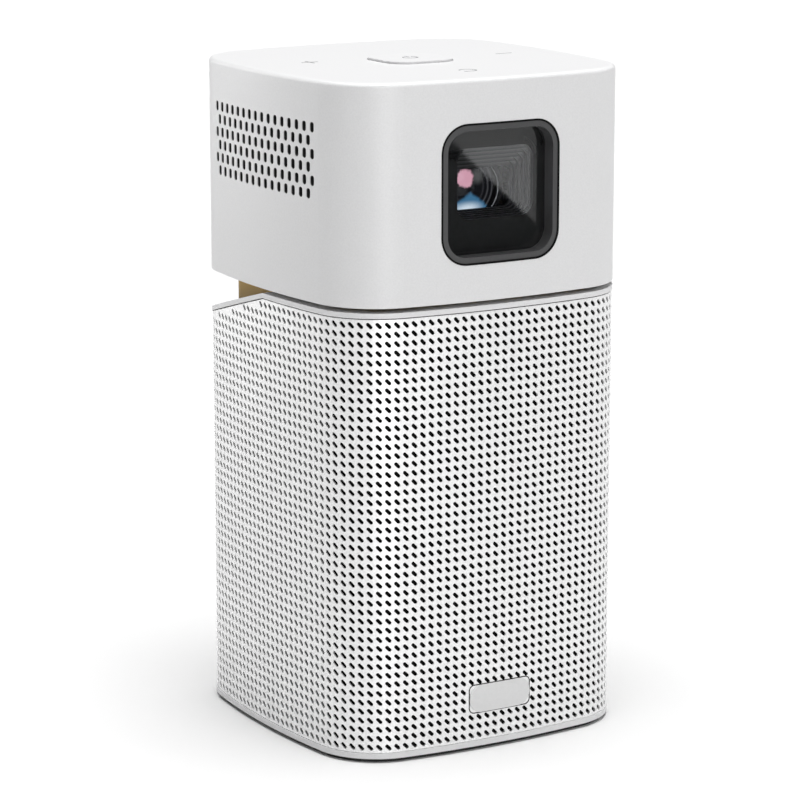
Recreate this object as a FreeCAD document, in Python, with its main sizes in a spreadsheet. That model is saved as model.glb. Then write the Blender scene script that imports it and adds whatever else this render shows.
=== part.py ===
"""A table-top home projector: a square head that tilts on a neck above a speaker base.

Frame: +Z up, origin at the middle of the underside, the lens faces -Y. Millimetres and degrees.
"""
import FreeCAD, Part
import math
import os
from types import SimpleNamespace

import Sketcher

V = FreeCAD.Vector
UP, FRONT, RIGHT = "XY_Plane", "XZ_Plane", "YZ_Plane"

SIZES = {
    # plan outline, shared by the head and the base: a square with bowed sides and round corners
    "half_width": 40.0,
    "corner_radius": 16.0,
    "side_bow_radius": 197.0,
    # heights
    "total_height": 155.0,
    "base_top": 104.0,
    "head_gap": 1.1,
    "tilt_angle": 15.0,
    "ridge_offset": 1.0,
    # head shell
    "head_wall": 2.0,
    "head_roof": 2.2,
    "head_edge_round": 1.0,
    "boss_radius": 3.0,
    "head_boss_inset": 11.0,
    # neck
    "neck_inset": 6.3,
    "neck_wall": 1.4,
    "neck_rise": 9.4,
    "fit_gap": 0.1,
    "neck_side_gap": 0.9,
    "neck_front_gap": 2.5,
    "neck_back_gap": 1.6,
    # base skins
    "trim_band": 1.15,
    "trim_groove": 0.25,
    "trim_step": 0.18,
    "grille_wall": 0.8,
    "cloth_wall": 0.3,
    "foot_height": 1.0,
    "foot_inset": 1.2,
    "foot_width": 7.0,
    "bottom_band": 1.3,
    "floor_lip": 0.7,
    "core_inset": 1.6,
    "core_wall": 5.0,
    "core_cavity_round": 12.0,
    "core_boss_inset": 10.5,
    "core_boss_radius": 3.5,
    # screws
    "screw_radius": 1.2,
    "screw_hole_radius": 1.7,
    "screw_head_radius": 2.6,
    "screw_head_height": 1.2,
    "screw_length": 12.0,
    # tripod insert
    "insert_radius": 5.0,
    "insert_bore_radius": 2.55,
    "insert_length": 7.0,
    "insert_boss_radius": 8.0,
    # lens window
    "bezel_width": 30.3,
    "bezel_height": 30.9,
    "bezel_round": 6.1,
    "bezel_centre_height": 129.25,
    "bezel_rim": 1.3,
    "bezel_recess": 4.0,
    "bezel_depth": 7.0,
    "bezel_seat_wall": 0.8,
    "window_thickness": 1.2,
    "baffle_flange": 1.0,
    "baffle_centre": 1.4,
    "baffle_middle_height": 130.8,
    "baffle_width": 20.0,
    "baffle_height": 16.0,
    "baffle_wall": 1.8,
    "baffle_step_depth": 1.2,
    "baffle_step_side": 0.4,
    "baffle_step_top": 1.1,
    "baffle_step_floor": 0.22,
    "baffle_round": 3.0,
    # lens and its focus drive
    "lens_centre": 0.7,
    "lens_height": 128.2,
    "lens_front": 26.4,
    "barrel_radius": 8.0,
    "barrel_bore_radius": 7.2,
    "barrel_lip_radius": 6.7,
    "barrel_length": 19.4,
    "running_gap": 0.05,
    "mount_radius": 10.0,
    "mount_flange_radius": 13.0,
    "mount_length": 16.0,
    "mount_flange": 2.0,
    "gear_module": 0.8,
    "gear_width": 6.0,
    "gear_front": 20.0,
    "ring_teeth": 32.0,
    "pinion_teeth": 14.0,
    "tooth_addendum": 0.6,
    "tooth_dedendum": 0.8,
    "tooth_backlash": 0.2,
    "motor_radius": 5.0,
    "motor_shaft_radius": 1.0,
    # light engine
    "engine_half_width": 20.0,
    "engine_front": 6.0,
    "engine_length": 28.0,
    "engine_height": 20.0,
    "engine_wall": 1.5,
    "engine_lid": 1.3,
    "prism_side": 11.0,
    # head inside
    "chassis_height": 118.2,
    "chassis_thickness": 1.5,
    "board_thickness": 1.6,
    "board_drop": 11.8,
    "key_board_drop": 7.6,
    "fan_size": 32.0,
    "fan_depth": 8.0,
    "fan_place": 35.9,
    "fan_drop": 19.0,
    "fan_bore_radius": 15.2,
    "blade_gap": 0.6,
    "fan_hub_radius": 7.4,
    "sink_reach": 13.0,
    "sink_fin": 1.0,
    "sink_fin_pitch": 3.6,
    # vents in the head's sides
    "vent_width": 1.5,
    "vent_height": 2.3,
    "vent_round": 0.6,
    "vent_pitch": 2.98,
    "vent_drop": 10.6,
    # power button
    "button_side": 17.2,
    "button_round": 5.4,
    "button_rise": 0.5,
    "button_gap": 0.25,
    "button_travel": 0.5,
    "button_stem_radius": 1.5,
    # hinge
    "hinge_plate_gap": 0.364,
    "hinge_plate": 2.0,
    "hinge_ear_place": 28.0,
    "hinge_ear": 2.0,
    "hinge_arm_gap": 0.4,
    "hinge_half_width": 5.0,
    "pin_radius": 2.0,
    # speaker driver and passive radiator
    "speaker_height": 58.0,
    "driver_hole_radius": 21.0,
    "driver_flange_radius": 23.0,
    "cone_radius": 16.4,
    "coil_radius": 8.2,
    "magnet_radius": 15.0,
    "magnet_length": 10.0,
    "radiator_hole_radius": 17.0,
    "radiator_flange_radius": 20.0,
    "radiator_radius": 12.5,
    # battery and sockets
    "cell_radius": 9.1,
    "cell_length": 65.0,
    "cell_bottom": 22.0,
    "cell_pitch": 18.8,
    "tray_thickness": 1.5,
    "battery_setback": 23.0,
    "io_board_height": 10.6,
    "io_width": 44.0,
    "io_height": 10.2,
    "io_round": 2.0,
    "io_centre_height": 15.0,
    "io_face": 38.2,
    "socket_wall": 0.4,
    "hdmi_width": 15.0,
    "usb_width": 13.2,
    "flat_socket_height": 5.6,
    "flat_socket_depth": 11.0,
    "dc_width": 9.0,
    "dc_height": 6.8,
    "dc_bore_radius": 2.8,
    "dc_pin_radius": 1.0,
    # badge
    "badge_width": 16.2,
    "badge_height": 6.5,
    "badge_centre": 0.3,
    "badge_centre_height": 12.3,
    "badge_rise": 0.25,
}


class Size:
    """A length that keeps its spreadsheet formula beside its present value."""

    def __init__(self, number, formula):
        self.number = number
        self.formula = formula

    def __add__(self, other):
        other = size(other)
        return Size(self.number + other.number, f"({self.formula} + {other.formula})")

    def __sub__(self, other):
        other = size(other)
        return Size(self.number - other.number, f"({self.formula} - {other.formula})")

    def __mul__(self, other):
        other = size(other)
        return Size(self.number * other.number, f"({self.formula} * {other.formula})")

    def __truediv__(self, other):
        other = size(other)
        return Size(self.number / other.number, f"({self.formula} / {other.formula})")

    def __radd__(self, other):
        return size(other) + self

    def __rsub__(self, other):
        return size(other) - self

    def __rmul__(self, other):
        return size(other) * self

    def __neg__(self):
        return Size(-self.number, f"(-1 * {self.formula})")


def size(value):
    return value if isinstance(value, Size) else Size(float(value), f"({float(value)})")


def tan(angle):
    return Size(math.tan(math.radians(angle.number)), f"tan({angle.formula})")


doc = FreeCAD.newDocument("HomeProjector")
sheet = doc.addObject("Spreadsheet::Sheet", "Sizes")
for row, (alias, number) in enumerate(SIZES.items(), start=1):
    sheet.set(f"A{row}", alias)
    sheet.set(f"B{row}", str(number))
    sheet.setAlias(f"B{row}", alias)
doc.recompute()
S = SimpleNamespace(**{alias: Size(number, f"Sizes.{alias}") for alias, number in SIZES.items()})

# places that several pieces share
HEAD_BOTTOM = S.base_top + S.head_gap
PIVOT_HEIGHT = S.base_top + S.head_gap / 2
KEY_BOARD_BOTTOM = S.total_height - S.key_board_drop
BOARD_BOTTOM = S.total_height - S.board_drop
VENT_TOP = S.total_height - S.vent_drop
FAN_MIDDLE = S.total_height - S.fan_drop
ROOF_UNDERSIDE = S.total_height - S.head_roof
CHASSIS_TOP = S.chassis_height + S.chassis_thickness
BAND_TOP = S.foot_height + S.bottom_band
FLOOR_TOP = BAND_TOP + S.floor_lip
GRILLE_INSIDE = S.trim_step + S.grille_wall
HEAD_BOSS_PLACE = S.half_width - S.head_boss_inset
CORE_BOSS_PLACE = S.half_width - S.core_boss_inset
CORE_CAVITY_HALF = S.half_width - S.core_wall
BATTERY_MIDDLE = CORE_CAVITY_HALF - S.battery_setback
RIM_DROP = (S.half_width + S.ridge_offset) * tan(S.tilt_angle)
HINGE_PLATE_TOP = S.base_top - S.trim_band - RIM_DROP - S.hinge_plate_gap
HINGE_PLATE_BOTTOM = HINGE_PLATE_TOP - S.hinge_plate
WINDOW_FRONT = S.half_width - S.bezel_recess
BAFFLE_FRONT = WINDOW_FRONT - S.window_thickness
BAFFLE_STEPS = 5
VENT_ROWS, VENT_COLUMNS = 6, 16
LENS_REAR = S.lens_front - S.barrel_length
PINION_CENTRE = S.lens_centre - S.gear_module * (S.ring_teeth + S.pinion_teeth) / 2
FAR = size(300)

PARTS = []
CUTS = []


def part(feature, label):
    """Names the finished object of one sub-part."""
    feature.Label = label
    PARTS.append(feature)
    return feature


def bind(feature, path, value):
    feature.setExpression(path, size(value).formula)


# ---- sketches and PartDesign features ----


def new_body(name):
    return doc.addObject("PartDesign::Body", name + "_body")


def new_sketch(body, name, plane, centre=(0, 0, 0)):
    """A sketch on the body's own plane, its origin at the centre given in the object's frame."""
    sketch = body.newObject("Sketcher::SketchObject", name)
    support = next(item for item in body.Origin.OriginFeatures if item.Role == plane)
    sketch.AttachmentSupport = [(support, "")]
    sketch.MapMode = "FlatFace"
    x, y, z = (size(value) for value in centre)
    local = {UP: (x, y, z), FRONT: (x, z, -y), RIGHT: (y, z, x)}[plane]
    for axis, value in zip("xyz", local):
        bind(sketch, f"AttachmentOffset.Base.{axis}", value)
    return sketch


def constrain(sketch, *terms):
    """Adds a constraint whose last term may be a Size, which is then bound to the sheet."""
    if isinstance(terms[-1], Size):
        index = sketch.addConstraint(Sketcher.Constraint(*terms[:-1], terms[-1].number))
        sketch.setExpression(f"Constraints[{index}]", terms[-1].formula)
    else:
        sketch.addConstraint(Sketcher.Constraint(*terms))


def outline(body, name, inset, height=0):
    """The plan outline, moved inwards all round by the inset, at a height."""
    sketch = new_sketch(body, name, UP, (0, 0, height))
    corner = S.corner_radius - inset
    bow = S.side_bow_radius - inset
    bow_offset = S.side_bow_radius - S.half_width
    reach, round_reach = bow_offset.number, bow.number - corner.number
    centre = (math.sqrt(2 * round_reach**2 - reach**2) - reach) / 2
    spread = math.atan2(centre, centre + reach)
    for quarter in range(4):
        turn = math.radians(90 * quarter)
        cosine, sine = math.cos(turn), math.sin(turn)
        bow_middle = V(-reach * cosine, -reach * sine, 0)
        corner_middle = V(centre * (cosine - sine), centre * (cosine + sine), 0)
        side = Part.Circle(bow_middle, V(0, 0, 1), bow.number)
        end = Part.Circle(corner_middle, V(0, 0, 1), corner.number)
        sketch.addGeometry(Part.ArcOfCircle(side, turn - spread, turn + spread))
        sketch.addGeometry(Part.ArcOfCircle(end, turn + spread, turn + math.pi / 2 - spread))
    for arc in range(8):
        constrain(sketch, "Tangent", arc, 2, (arc + 1) % 8, 1)
    for quarter in range(4):
        side = 2 * quarter
        across = quarter % 2
        constrain(sketch, "PointOnObject", side, 3, -2 if across else -1)
        constrain(sketch, "Radius", side, bow)
        ends = (side, 3, -1, 1) if quarter < 2 else (-1, 1, side, 3)
        constrain(sketch, "DistanceY" if across else "DistanceX", *ends, bow_offset)
        constrain(sketch, "Radius", side + 1, corner)
    return sketch


def rounded_rectangle(body, name, plane, centre, width, height, radius):
    """A rectangle with round corners, centred on the sketch's origin."""
    sketch = new_sketch(body, name, plane, centre)
    width, height, radius = size(width), size(height), size(radius)
    half_wide = width.number / 2 - radius.number
    half_high = height.number / 2 - radius.number
    for quarter, (right, top) in enumerate(((1, 1), (-1, 1), (-1, -1), (1, -1))):
        middle = V(right * half_wide, top * half_high, 0)
        turn = math.pi / 2 * quarter
        circle = Part.Circle(middle, V(0, 0, 1), radius.number)
        sketch.addGeometry(Part.ArcOfCircle(circle, turn, turn + math.pi / 2))
        start = middle + V(math.cos(turn + math.pi / 2), math.sin(turn + math.pi / 2), 0) * radius.number
        travel = V(0, -2 * half_high, 0) if quarter % 2 else V(-2 * half_wide, 0, 0)
        travel = travel if quarter < 2 else -travel
        sketch.addGeometry(Part.LineSegment(start, start + travel))
    for edge in range(8):
        constrain(sketch, "Tangent", edge, 2, (edge + 1) % 8, 1)
    for line in (1, 5):
        constrain(sketch, "Horizontal", line)
    for line in (3, 7):
        constrain(sketch, "Vertical", line)
    for arc in (2, 4, 6):
        constrain(sketch, "Equal", 0, arc)
    constrain(sketch, "Radius", 0, radius)
    constrain(sketch, "DistanceX", 2, 3, 0, 3, width - 2 * radius)
    constrain(sketch, "DistanceY", 6, 3, 0, 3, height - 2 * radius)
    constrain(sketch, "Symmetric", 0, 3, 4, 3, -1, 1)
    return sketch


def circle(body, name, plane, centre, radius):
    sketch = new_sketch(body, name, plane, centre)
    sketch.addGeometry(Part.Circle(V(0, 0, 0), V(0, 0, 1), size(radius).number))
    constrain(sketch, "Coincident", 0, 3, -1, 1)
    constrain(sketch, "Radius", 0, size(radius))
    return sketch


def polygon(sketch, points):
    """Closed straight lines through the points, joined end to start."""
    for start, end in zip(points, points[1:] + points[:1]):
        sketch.addGeometry(Part.LineSegment(V(*start, 0), V(*end, 0)))
    for line in range(len(points)):
        constrain(sketch, "Coincident", line, 2, (line + 1) % len(points), 1)


def bent_profile(body, name, height, above):
    """The base's top seen from the side: level in front of the ridge, falling behind it.

    The sketch holds the space above or below that line, which a pocket takes away.
    """
    sketch = new_sketch(body, name, RIGHT, (0, -S.ridge_offset, height))
    far = FAR.number
    side = 1 if above else -1
    drop = far * math.tan(math.radians(S.tilt_angle.number))
    polygon(sketch, [(0, 0), (-far, 0), (-far, side * far), (far, side * far), (far, -drop)])
    constrain(sketch, "Coincident", 0, 1, -1, 1)
    constrain(sketch, "Horizontal", 0)
    constrain(sketch, "Vertical", 1)
    constrain(sketch, "Horizontal", 2)
    constrain(sketch, "Vertical", 3)
    constrain(sketch, "DistanceX", 0, 2, -1, 1, FAR)
    constrain(sketch, "DistanceX", -1, 1, 3, 2, FAR)
    ends = (0, 2, 1, 2) if above else (1, 2, 0, 2)
    constrain(sketch, "DistanceY", *ends, FAR)
    constrain(sketch, "DistanceY", 3, 2, -1, 1, FAR * tan(S.tilt_angle))
    return sketch


def slope_profile(body, name, middle, height, slope):
    """The space above a line that falls towards the back by the given slope, a tangent."""
    sketch = new_sketch(body, name, RIGHT, (0, middle, height))
    far, rise = FAR.number, FAR.number * slope.number
    polygon(sketch, [(-far, rise), (-far, 2 * far), (far, 2 * far), (far, -rise)])
    constrain(sketch, "Vertical", 0)
    constrain(sketch, "Horizontal", 1)
    constrain(sketch, "Vertical", 2)
    constrain(sketch, "Symmetric", 0, 1, 3, 1, -1, 1)
    constrain(sketch, "DistanceX", -1, 1, 2, 1, FAR)
    constrain(sketch, "DistanceY", -1, 1, 2, 1, 2 * FAR)
    constrain(sketch, "DistanceY", 3, 1, -1, 1, FAR * slope)
    return sketch


def pad(body, profile, length, backwards=False):
    feature = body.newObject("PartDesign::Pad", profile.Name + "_pad")
    feature.Profile = profile
    bind(feature, "Length", length)
    feature.Reversed = backwards
    return feature


def pocket(body, profile, length, forwards=False, both_ways=False):
    """A cut against the sketch's normal, or along it when forwards."""
    before = body.Tip
    feature = body.newObject("PartDesign::Pocket", profile.Name + "_pocket")
    feature.Profile = profile
    bind(feature, "Length", length)
    feature.Reversed = forwards
    feature.Midplane = both_ways
    CUTS.append((before, feature))
    return feature


def ring_body(name, outer_inset, inner_inset, bottom, top):
    """A wall that follows the plan outline between two insets."""
    body = new_body(name)
    pad(body, outline(body, name + "_outside", outer_inset, bottom), top - bottom)
    pocket(body, outline(body, name + "_inside", inner_inset, bottom), FAR, forwards=True)
    return body


# ---- Part primitives and booleans ----


def place(feature, base, axis="z"):
    """Binds the feature's place and turns its own z axis to x or -y."""
    turns = {"z": (V(0, 0, 1), 0), "x": (V(0, 1, 0), 90), "-y": (V(1, 0, 0), 90)}
    feature.Placement = FreeCAD.Placement(V(), FreeCAD.Rotation(*turns[axis]))
    for letter, value in zip("xyz", base):
        bind(feature, f"Placement.Base.{letter}", value)
    return feature


def box(name, low, extent):
    feature = doc.addObject("Part::Box", name)
    for side, value in zip(("Length", "Width", "Height"), extent):
        bind(feature, side, value)
    return place(feature, low)


def block(name, middle, extent):
    """A box centred in x and y on its middle, standing on the middle's z."""
    x, y, z = middle
    wide, deep, high = (size(value) for value in extent)
    return box(name, (x - wide / 2, y - deep / 2, z), (wide, deep, high))


def cylinder(name, base, axis, radius, length):
    feature = doc.addObject("Part::Cylinder", name)
    bind(feature, "Radius", radius)
    bind(feature, "Height", length)
    return place(feature, base, axis)


def cone(name, base, axis, radius, far_radius, length):
    feature = doc.addObject("Part::Cone", name)
    bind(feature, "Radius1", radius)
    bind(feature, "Radius2", far_radius)
    bind(feature, "Height", length)
    return place(feature, base, axis)


def cut(name, base, *tools):
    feature = doc.addObject("Part::Cut", name)
    feature.Base = base
    feature.Tool = tools[0] if len(tools) == 1 else fuse(name + "_tools", *tools)
    CUTS.append((base, feature))
    return feature


def fuse(name, *pieces):
    feature = doc.addObject("Part::MultiFuse", name)
    feature.Shapes = list(pieces)
    feature.Refine = True
    return feature


def common(name, first, second):
    feature = doc.addObject("Part::Common", name)
    feature.Base = first
    feature.Tool = second
    return feature


def group(name, *pieces):
    """Separate solids kept as one sub-part."""
    feature = doc.addObject("Part::Compound", name)
    feature.Links = list(pieces)
    return feature


def copies(name, source, offsets):
    """The source repeated at each offset, as links that share its shape."""
    links = []
    for index, offset in enumerate(offsets):
        link = doc.addObject("App::Link", f"{name}_{index}")
        link.LinkedObject = source
        for letter, value in zip("xyz", offset):
            bind(link, f"Placement.Base.{letter}", value)
        links.append(link)
    return group(name, *links)


def mirrored(name, source):
    """The source's twin on the other side of the middle plane."""
    feature = doc.addObject("Part::Mirroring", name)
    feature.Source = source
    feature.Normal = V(1, 0, 0)
    return feature


def tube(name, base, axis, radius, bore_radius, length):
    outside = cylinder(name + "_outside", base, axis, radius, length)
    inside = cylinder(name + "_bore", base, axis, bore_radius, length)
    return cut(name, outside, inside)


def corner_cylinders(name, offset, bottom, radius, length):
    """Four upright cylinders, one near each corner of the plan."""
    return [
        cylinder(f"{name}_{index}", (right * offset, back * offset, bottom), "z", radius, length)
        for index, (right, back) in enumerate(((1, 1), (-1, 1), (-1, -1), (1, -1)))
    ]


# ---- head: shell and its fixed pieces ----


def make_vent_slots():
    """Rows of upright slots through both side walls, every other row half a pitch along and one slot short."""
    body = new_body("vent_slot")
    centre = (-S.half_width - 1, 0, VENT_TOP)
    slot = rounded_rectangle(
        body, "vent_slot_outline", RIGHT, centre, S.vent_width, S.vent_height, S.vent_round
    )
    pad(body, slot, 2 * S.half_width + 2)
    places = []
    for row in range(VENT_ROWS):
        count = VENT_COLUMNS - row % 2
        for column in range(count):
            places.append((0, S.vent_pitch * (column - (count - 1) / 2), -S.vent_pitch * row))
    return copies("vent_slots", body, places)


def make_head_shell():
    body = new_body("head_shell")
    solid = pad(body, outline(body, "head_outline", size(0), HEAD_BOTTOM), S.total_height - HEAD_BOTTOM)
    doc.recompute()
    top_edges = [
        f"Edge{index}"
        for index, edge in enumerate(solid.Shape.Edges, start=1)
        if abs(edge.BoundBox.ZMin - S.total_height.number) < 1e-6
    ]
    rounding = body.newObject("PartDesign::Fillet", "head_edge")
    rounding.Base = (solid, top_edges)
    bind(rounding, "Radius", S.head_edge_round)
    cavity = outline(body, "head_cavity", S.head_wall, HEAD_BOTTOM)
    pocket(body, cavity, ROOF_UNDERSIDE - HEAD_BOTTOM, forwards=True)
    gap = S.fit_gap
    window = rounded_rectangle(
        body, "bezel_hole", FRONT, (0, -S.half_width - 1, S.bezel_centre_height),
        S.bezel_width + 2 * gap, S.bezel_height + 2 * gap, S.bezel_round + gap,
    )
    pocket(body, window, S.head_wall + 3)
    clear = S.button_gap
    button_hole = rounded_rectangle(
        body, "button_hole", UP, (0, 0, S.total_height + 1),
        S.button_side + 2 * clear, S.button_side + 2 * clear, S.button_round + clear,
    )
    pocket(body, button_hole, S.head_roof + 2)
    posts = corner_cylinders(
        "head_boss", HEAD_BOSS_PLACE, CHASSIS_TOP, S.boss_radius, ROOF_UNDERSIDE - CHASSIS_TOP
    )
    drills = corner_cylinders(
        "head_boss_hole", HEAD_BOSS_PLACE, CHASSIS_TOP, S.screw_radius + S.running_gap, S.screw_length
    )
    vented = cut("vented_head", body, make_vent_slots())
    part(cut("head_shell", fuse("bossed_head", vented, *posts), *drills), "head_shell")


def make_head_bottom_ring():
    body = new_body("head_bottom_ring")
    edge = outline(body, "bottom_ring_outside", S.head_wall + S.fit_gap, HEAD_BOTTOM)
    pad(body, edge, S.head_wall)
    neck_half = S.half_width - S.neck_inset
    opening = rounded_rectangle(
        body, "bottom_ring_opening", UP,
        (0, (S.neck_back_gap - S.neck_front_gap) / 2, HEAD_BOTTOM),
        2 * (neck_half + S.neck_side_gap),
        2 * neck_half + S.neck_front_gap + S.neck_back_gap,
        S.corner_radius - S.neck_inset + S.neck_side_gap,
    )
    pocket(body, opening, FAR, forwards=True)
    part(body, "head_bottom_ring")


def bezel_outline(body, name, place_back, margin):
    """The bezel's own outline, drawn in all round by the margin, at a depth behind the middle of the face."""
    return rounded_rectangle(
        body, name, FRONT, (0, -place_back, S.bezel_centre_height),
        S.bezel_width - 2 * margin, S.bezel_height - 2 * margin, S.bezel_round - margin,
    )


def make_lens_bezel():
    body = new_body("lens_bezel")
    rear = S.half_width - S.bezel_depth
    pad(body, bezel_outline(body, "bezel_outside", rear, size(0)), S.bezel_depth + 1)
    mouth = bezel_outline(body, "bezel_mouth", S.half_width + 1, S.bezel_rim)
    pocket(body, mouth, FAR)
    seat = bezel_outline(body, "bezel_seat", WINDOW_FRONT, S.bezel_seat_wall)
    pocket(body, seat, FAR)
    skin = new_body("bezel_skin")
    pad(skin, outline(skin, "bezel_skin_outline", S.fit_gap, HEAD_BOTTOM), S.total_height - HEAD_BOTTOM)
    part(common("lens_bezel", body, skin), "lens_bezel")


def make_lens_window():
    body = new_body("lens_window")
    margin = S.bezel_seat_wall + S.running_gap
    pad(body, bezel_outline(body, "window_outline", BAFFLE_FRONT, margin), S.window_thickness)
    part(body, "lens_window")


def make_lens_baffle():
    """A frame behind the window whose opening narrows in steps towards the lens."""
    body = new_body("lens_baffle")
    margin = S.bezel_seat_wall + S.running_gap
    flange_back = BAFFLE_FRONT - S.baffle_flange
    pad(body, bezel_outline(body, "baffle_flange_outline", flange_back, margin), S.baffle_flange)
    total_depth = S.baffle_step_depth * (BAFFLE_STEPS + 1)
    rear = BAFFLE_FRONT - total_depth
    block_outline = rounded_rectangle(
        body, "baffle_block", FRONT, (S.baffle_centre, -rear, S.baffle_middle_height),
        S.baffle_width + 2 * S.baffle_wall, S.baffle_height + 2 * S.baffle_wall,
        S.baffle_round + S.baffle_wall,
    )
    pad(body, block_outline, total_depth)
    for step in range(BAFFLE_STEPS + 1):
        rise = step * (S.baffle_step_floor - S.baffle_step_top) / 2
        narrow = S.baffle_width - 2 * step * S.baffle_step_side
        low = S.baffle_height - step * (S.baffle_step_top + S.baffle_step_floor)
        opening = rounded_rectangle(
            body, f"baffle_step_{step}", FRONT,
            (S.baffle_centre, -BAFFLE_FRONT, S.baffle_middle_height + rise),
            narrow, low, S.baffle_round - step * S.baffle_step_floor,
        )
        depth = S.baffle_step_depth * (step + 1)
        pocket(body, opening, depth + 1 if step == BAFFLE_STEPS else depth)
    part(body, "lens_baffle")


def make_head_chassis():
    """The metal deck that carries the light engine, the boards and the hinge arms."""
    body = new_body("chassis_plate")
    pad(body, outline(body, "chassis_outline", S.head_wall + 0.4, S.chassis_height), S.chassis_thickness)
    notch = block(
        "chassis_notch", (0, -S.half_width, S.chassis_height - 1),
        (S.bezel_width + 2.7, 2 * (S.half_width - S.lens_front + 2.4), 4),
    )
    lens_slot = box(
        "chassis_lens_slot", (S.lens_centre - S.mount_flange_radius - 1.2, -S.half_width, S.chassis_height - 1),
        (2 * S.mount_flange_radius + 2.4, S.half_width - S.engine_front, 4),
    )
    screw_holes = corner_cylinders(
        "chassis_screw_hole", HEAD_BOSS_PLACE, S.chassis_height - 1, S.screw_hole_radius, 4
    )
    cable_hole = cylinder("chassis_cable_hole", (18.2, -15, S.chassis_height - 1), "z", 2.6, 4)
    posts = [
        cylinder(f"board_post_{index}", (x, y, CHASSIS_TOP - 0.5), "z", 2, BOARD_BOTTOM - CHASSIS_TOP + 0.5)
        for index, (x, y) in enumerate(((22.5, -24), (-22.5, -24), (-22.5, 31), (22.5, 31)))
    ]
    plate = cut("drilled_chassis", body, notch, lens_slot, cable_hole, *screw_holes)
    part(fuse("head_chassis", plate, *posts), "head_chassis")


def make_hinge_arms():
    """Two arms under the chassis that turn on the hinge pins."""
    outer = S.hinge_ear_place - S.hinge_arm_gap
    inner = outer - S.hinge_ear
    half = S.hinge_half_width
    front = -S.ridge_offset - half
    blade = box(
        "arm_blade", (inner, front, PIVOT_HEIGHT),
        (S.hinge_ear, 2 * half, S.chassis_height - PIVOT_HEIGHT),
    )
    eye = cylinder("arm_eye", (inner, -S.ridge_offset, PIVOT_HEIGHT), "x", half, S.hinge_ear)
    foot = box(
        "arm_foot", (inner - 6, front, S.chassis_height - S.hinge_plate),
        (S.hinge_ear + 6, 2 * half, S.hinge_plate),
    )
    bore = cylinder(
        "arm_bore", (inner - 1, -S.ridge_offset, PIVOT_HEIGHT), "x",
        S.pin_radius + S.running_gap, S.hinge_ear + 2,
    )
    right = cut("right_hinge_arm", fuse("arm_stock", blade, eye, foot), bore)
    part(group("hinge_arms", right, mirrored("left_hinge_arm", right)), "hinge_arms")


def make_head_screws():
    """Screws from under the chassis up into the shell's bosses."""
    screws = []
    heads = corner_cylinders(
        "head_screw_head", HEAD_BOSS_PLACE, S.chassis_height - S.screw_head_height,
        S.screw_head_radius, S.screw_head_height,
    )
    shanks = corner_cylinders(
        "head_screw_shank", HEAD_BOSS_PLACE, S.chassis_height - 0.2, S.screw_radius, S.screw_length
    )
    for index, (head, shank) in enumerate(zip(heads, shanks)):
        screws.append(fuse(f"head_screw_{index}", head, shank))
    part(group("head_screws", *screws), "head_screws")


def make_vent_meshes():
    """Fine dust meshes just inside the vents."""
    top = VENT_TOP + S.vent_pitch
    low = VENT_TOP - 6 * S.vent_pitch
    right = box("right_vent_mesh", (36.1, -23.5, low), (0.4, 47, top - low))
    part(group("vent_meshes", right, mirrored("left_vent_mesh", right)), "vent_meshes")


# ---- head: lens, focus drive and light engine ----


def lens_axis(depth):
    """A point on the lens axis, its depth counted back from the middle of the object to the front."""
    return (S.lens_centre, -depth, S.lens_height)


def make_lens_mount():
    engine_face = S.engine_front
    tube_part = cylinder(
        "mount_tube", lens_axis(engine_face), "-y", S.mount_radius, S.mount_length
    )
    flange = cylinder("mount_flange", lens_axis(engine_face), "-y", S.mount_flange_radius, S.mount_flange)
    bore = cylinder(
        "mount_bore", lens_axis(engine_face - 1), "-y", S.barrel_radius + S.running_gap, S.mount_length + 2
    )
    part(cut("lens_mount", fuse("mount_stock", tube_part, flange), bore), "lens_mount")


def make_lens_barrel():
    stock = cylinder("barrel_stock", lens_axis(LENS_REAR), "-y", S.barrel_radius, S.barrel_length)
    bore = cylinder("barrel_bore", lens_axis(LENS_REAR - 1), "-y", S.barrel_bore_radius, S.barrel_length + 0.2)
    mouth = cylinder("barrel_mouth", lens_axis(LENS_REAR), "-y", S.barrel_lip_radius, S.barrel_length + 1)
    part(cut("lens_barrel", stock, bore, mouth), "lens_barrel")
    glass_radius = S.barrel_bore_radius - 0.02
    lip = S.lens_front - 0.85
    front = cylinder("front_lens_disc", lens_axis(lip - 3), "-y", glass_radius, 3)
    part(front, "front_lens")
    rear = cylinder("rear_lens_disc", lens_axis(LENS_REAR + 1), "-y", glass_radius, 3)
    part(rear, "rear_lens")


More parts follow.
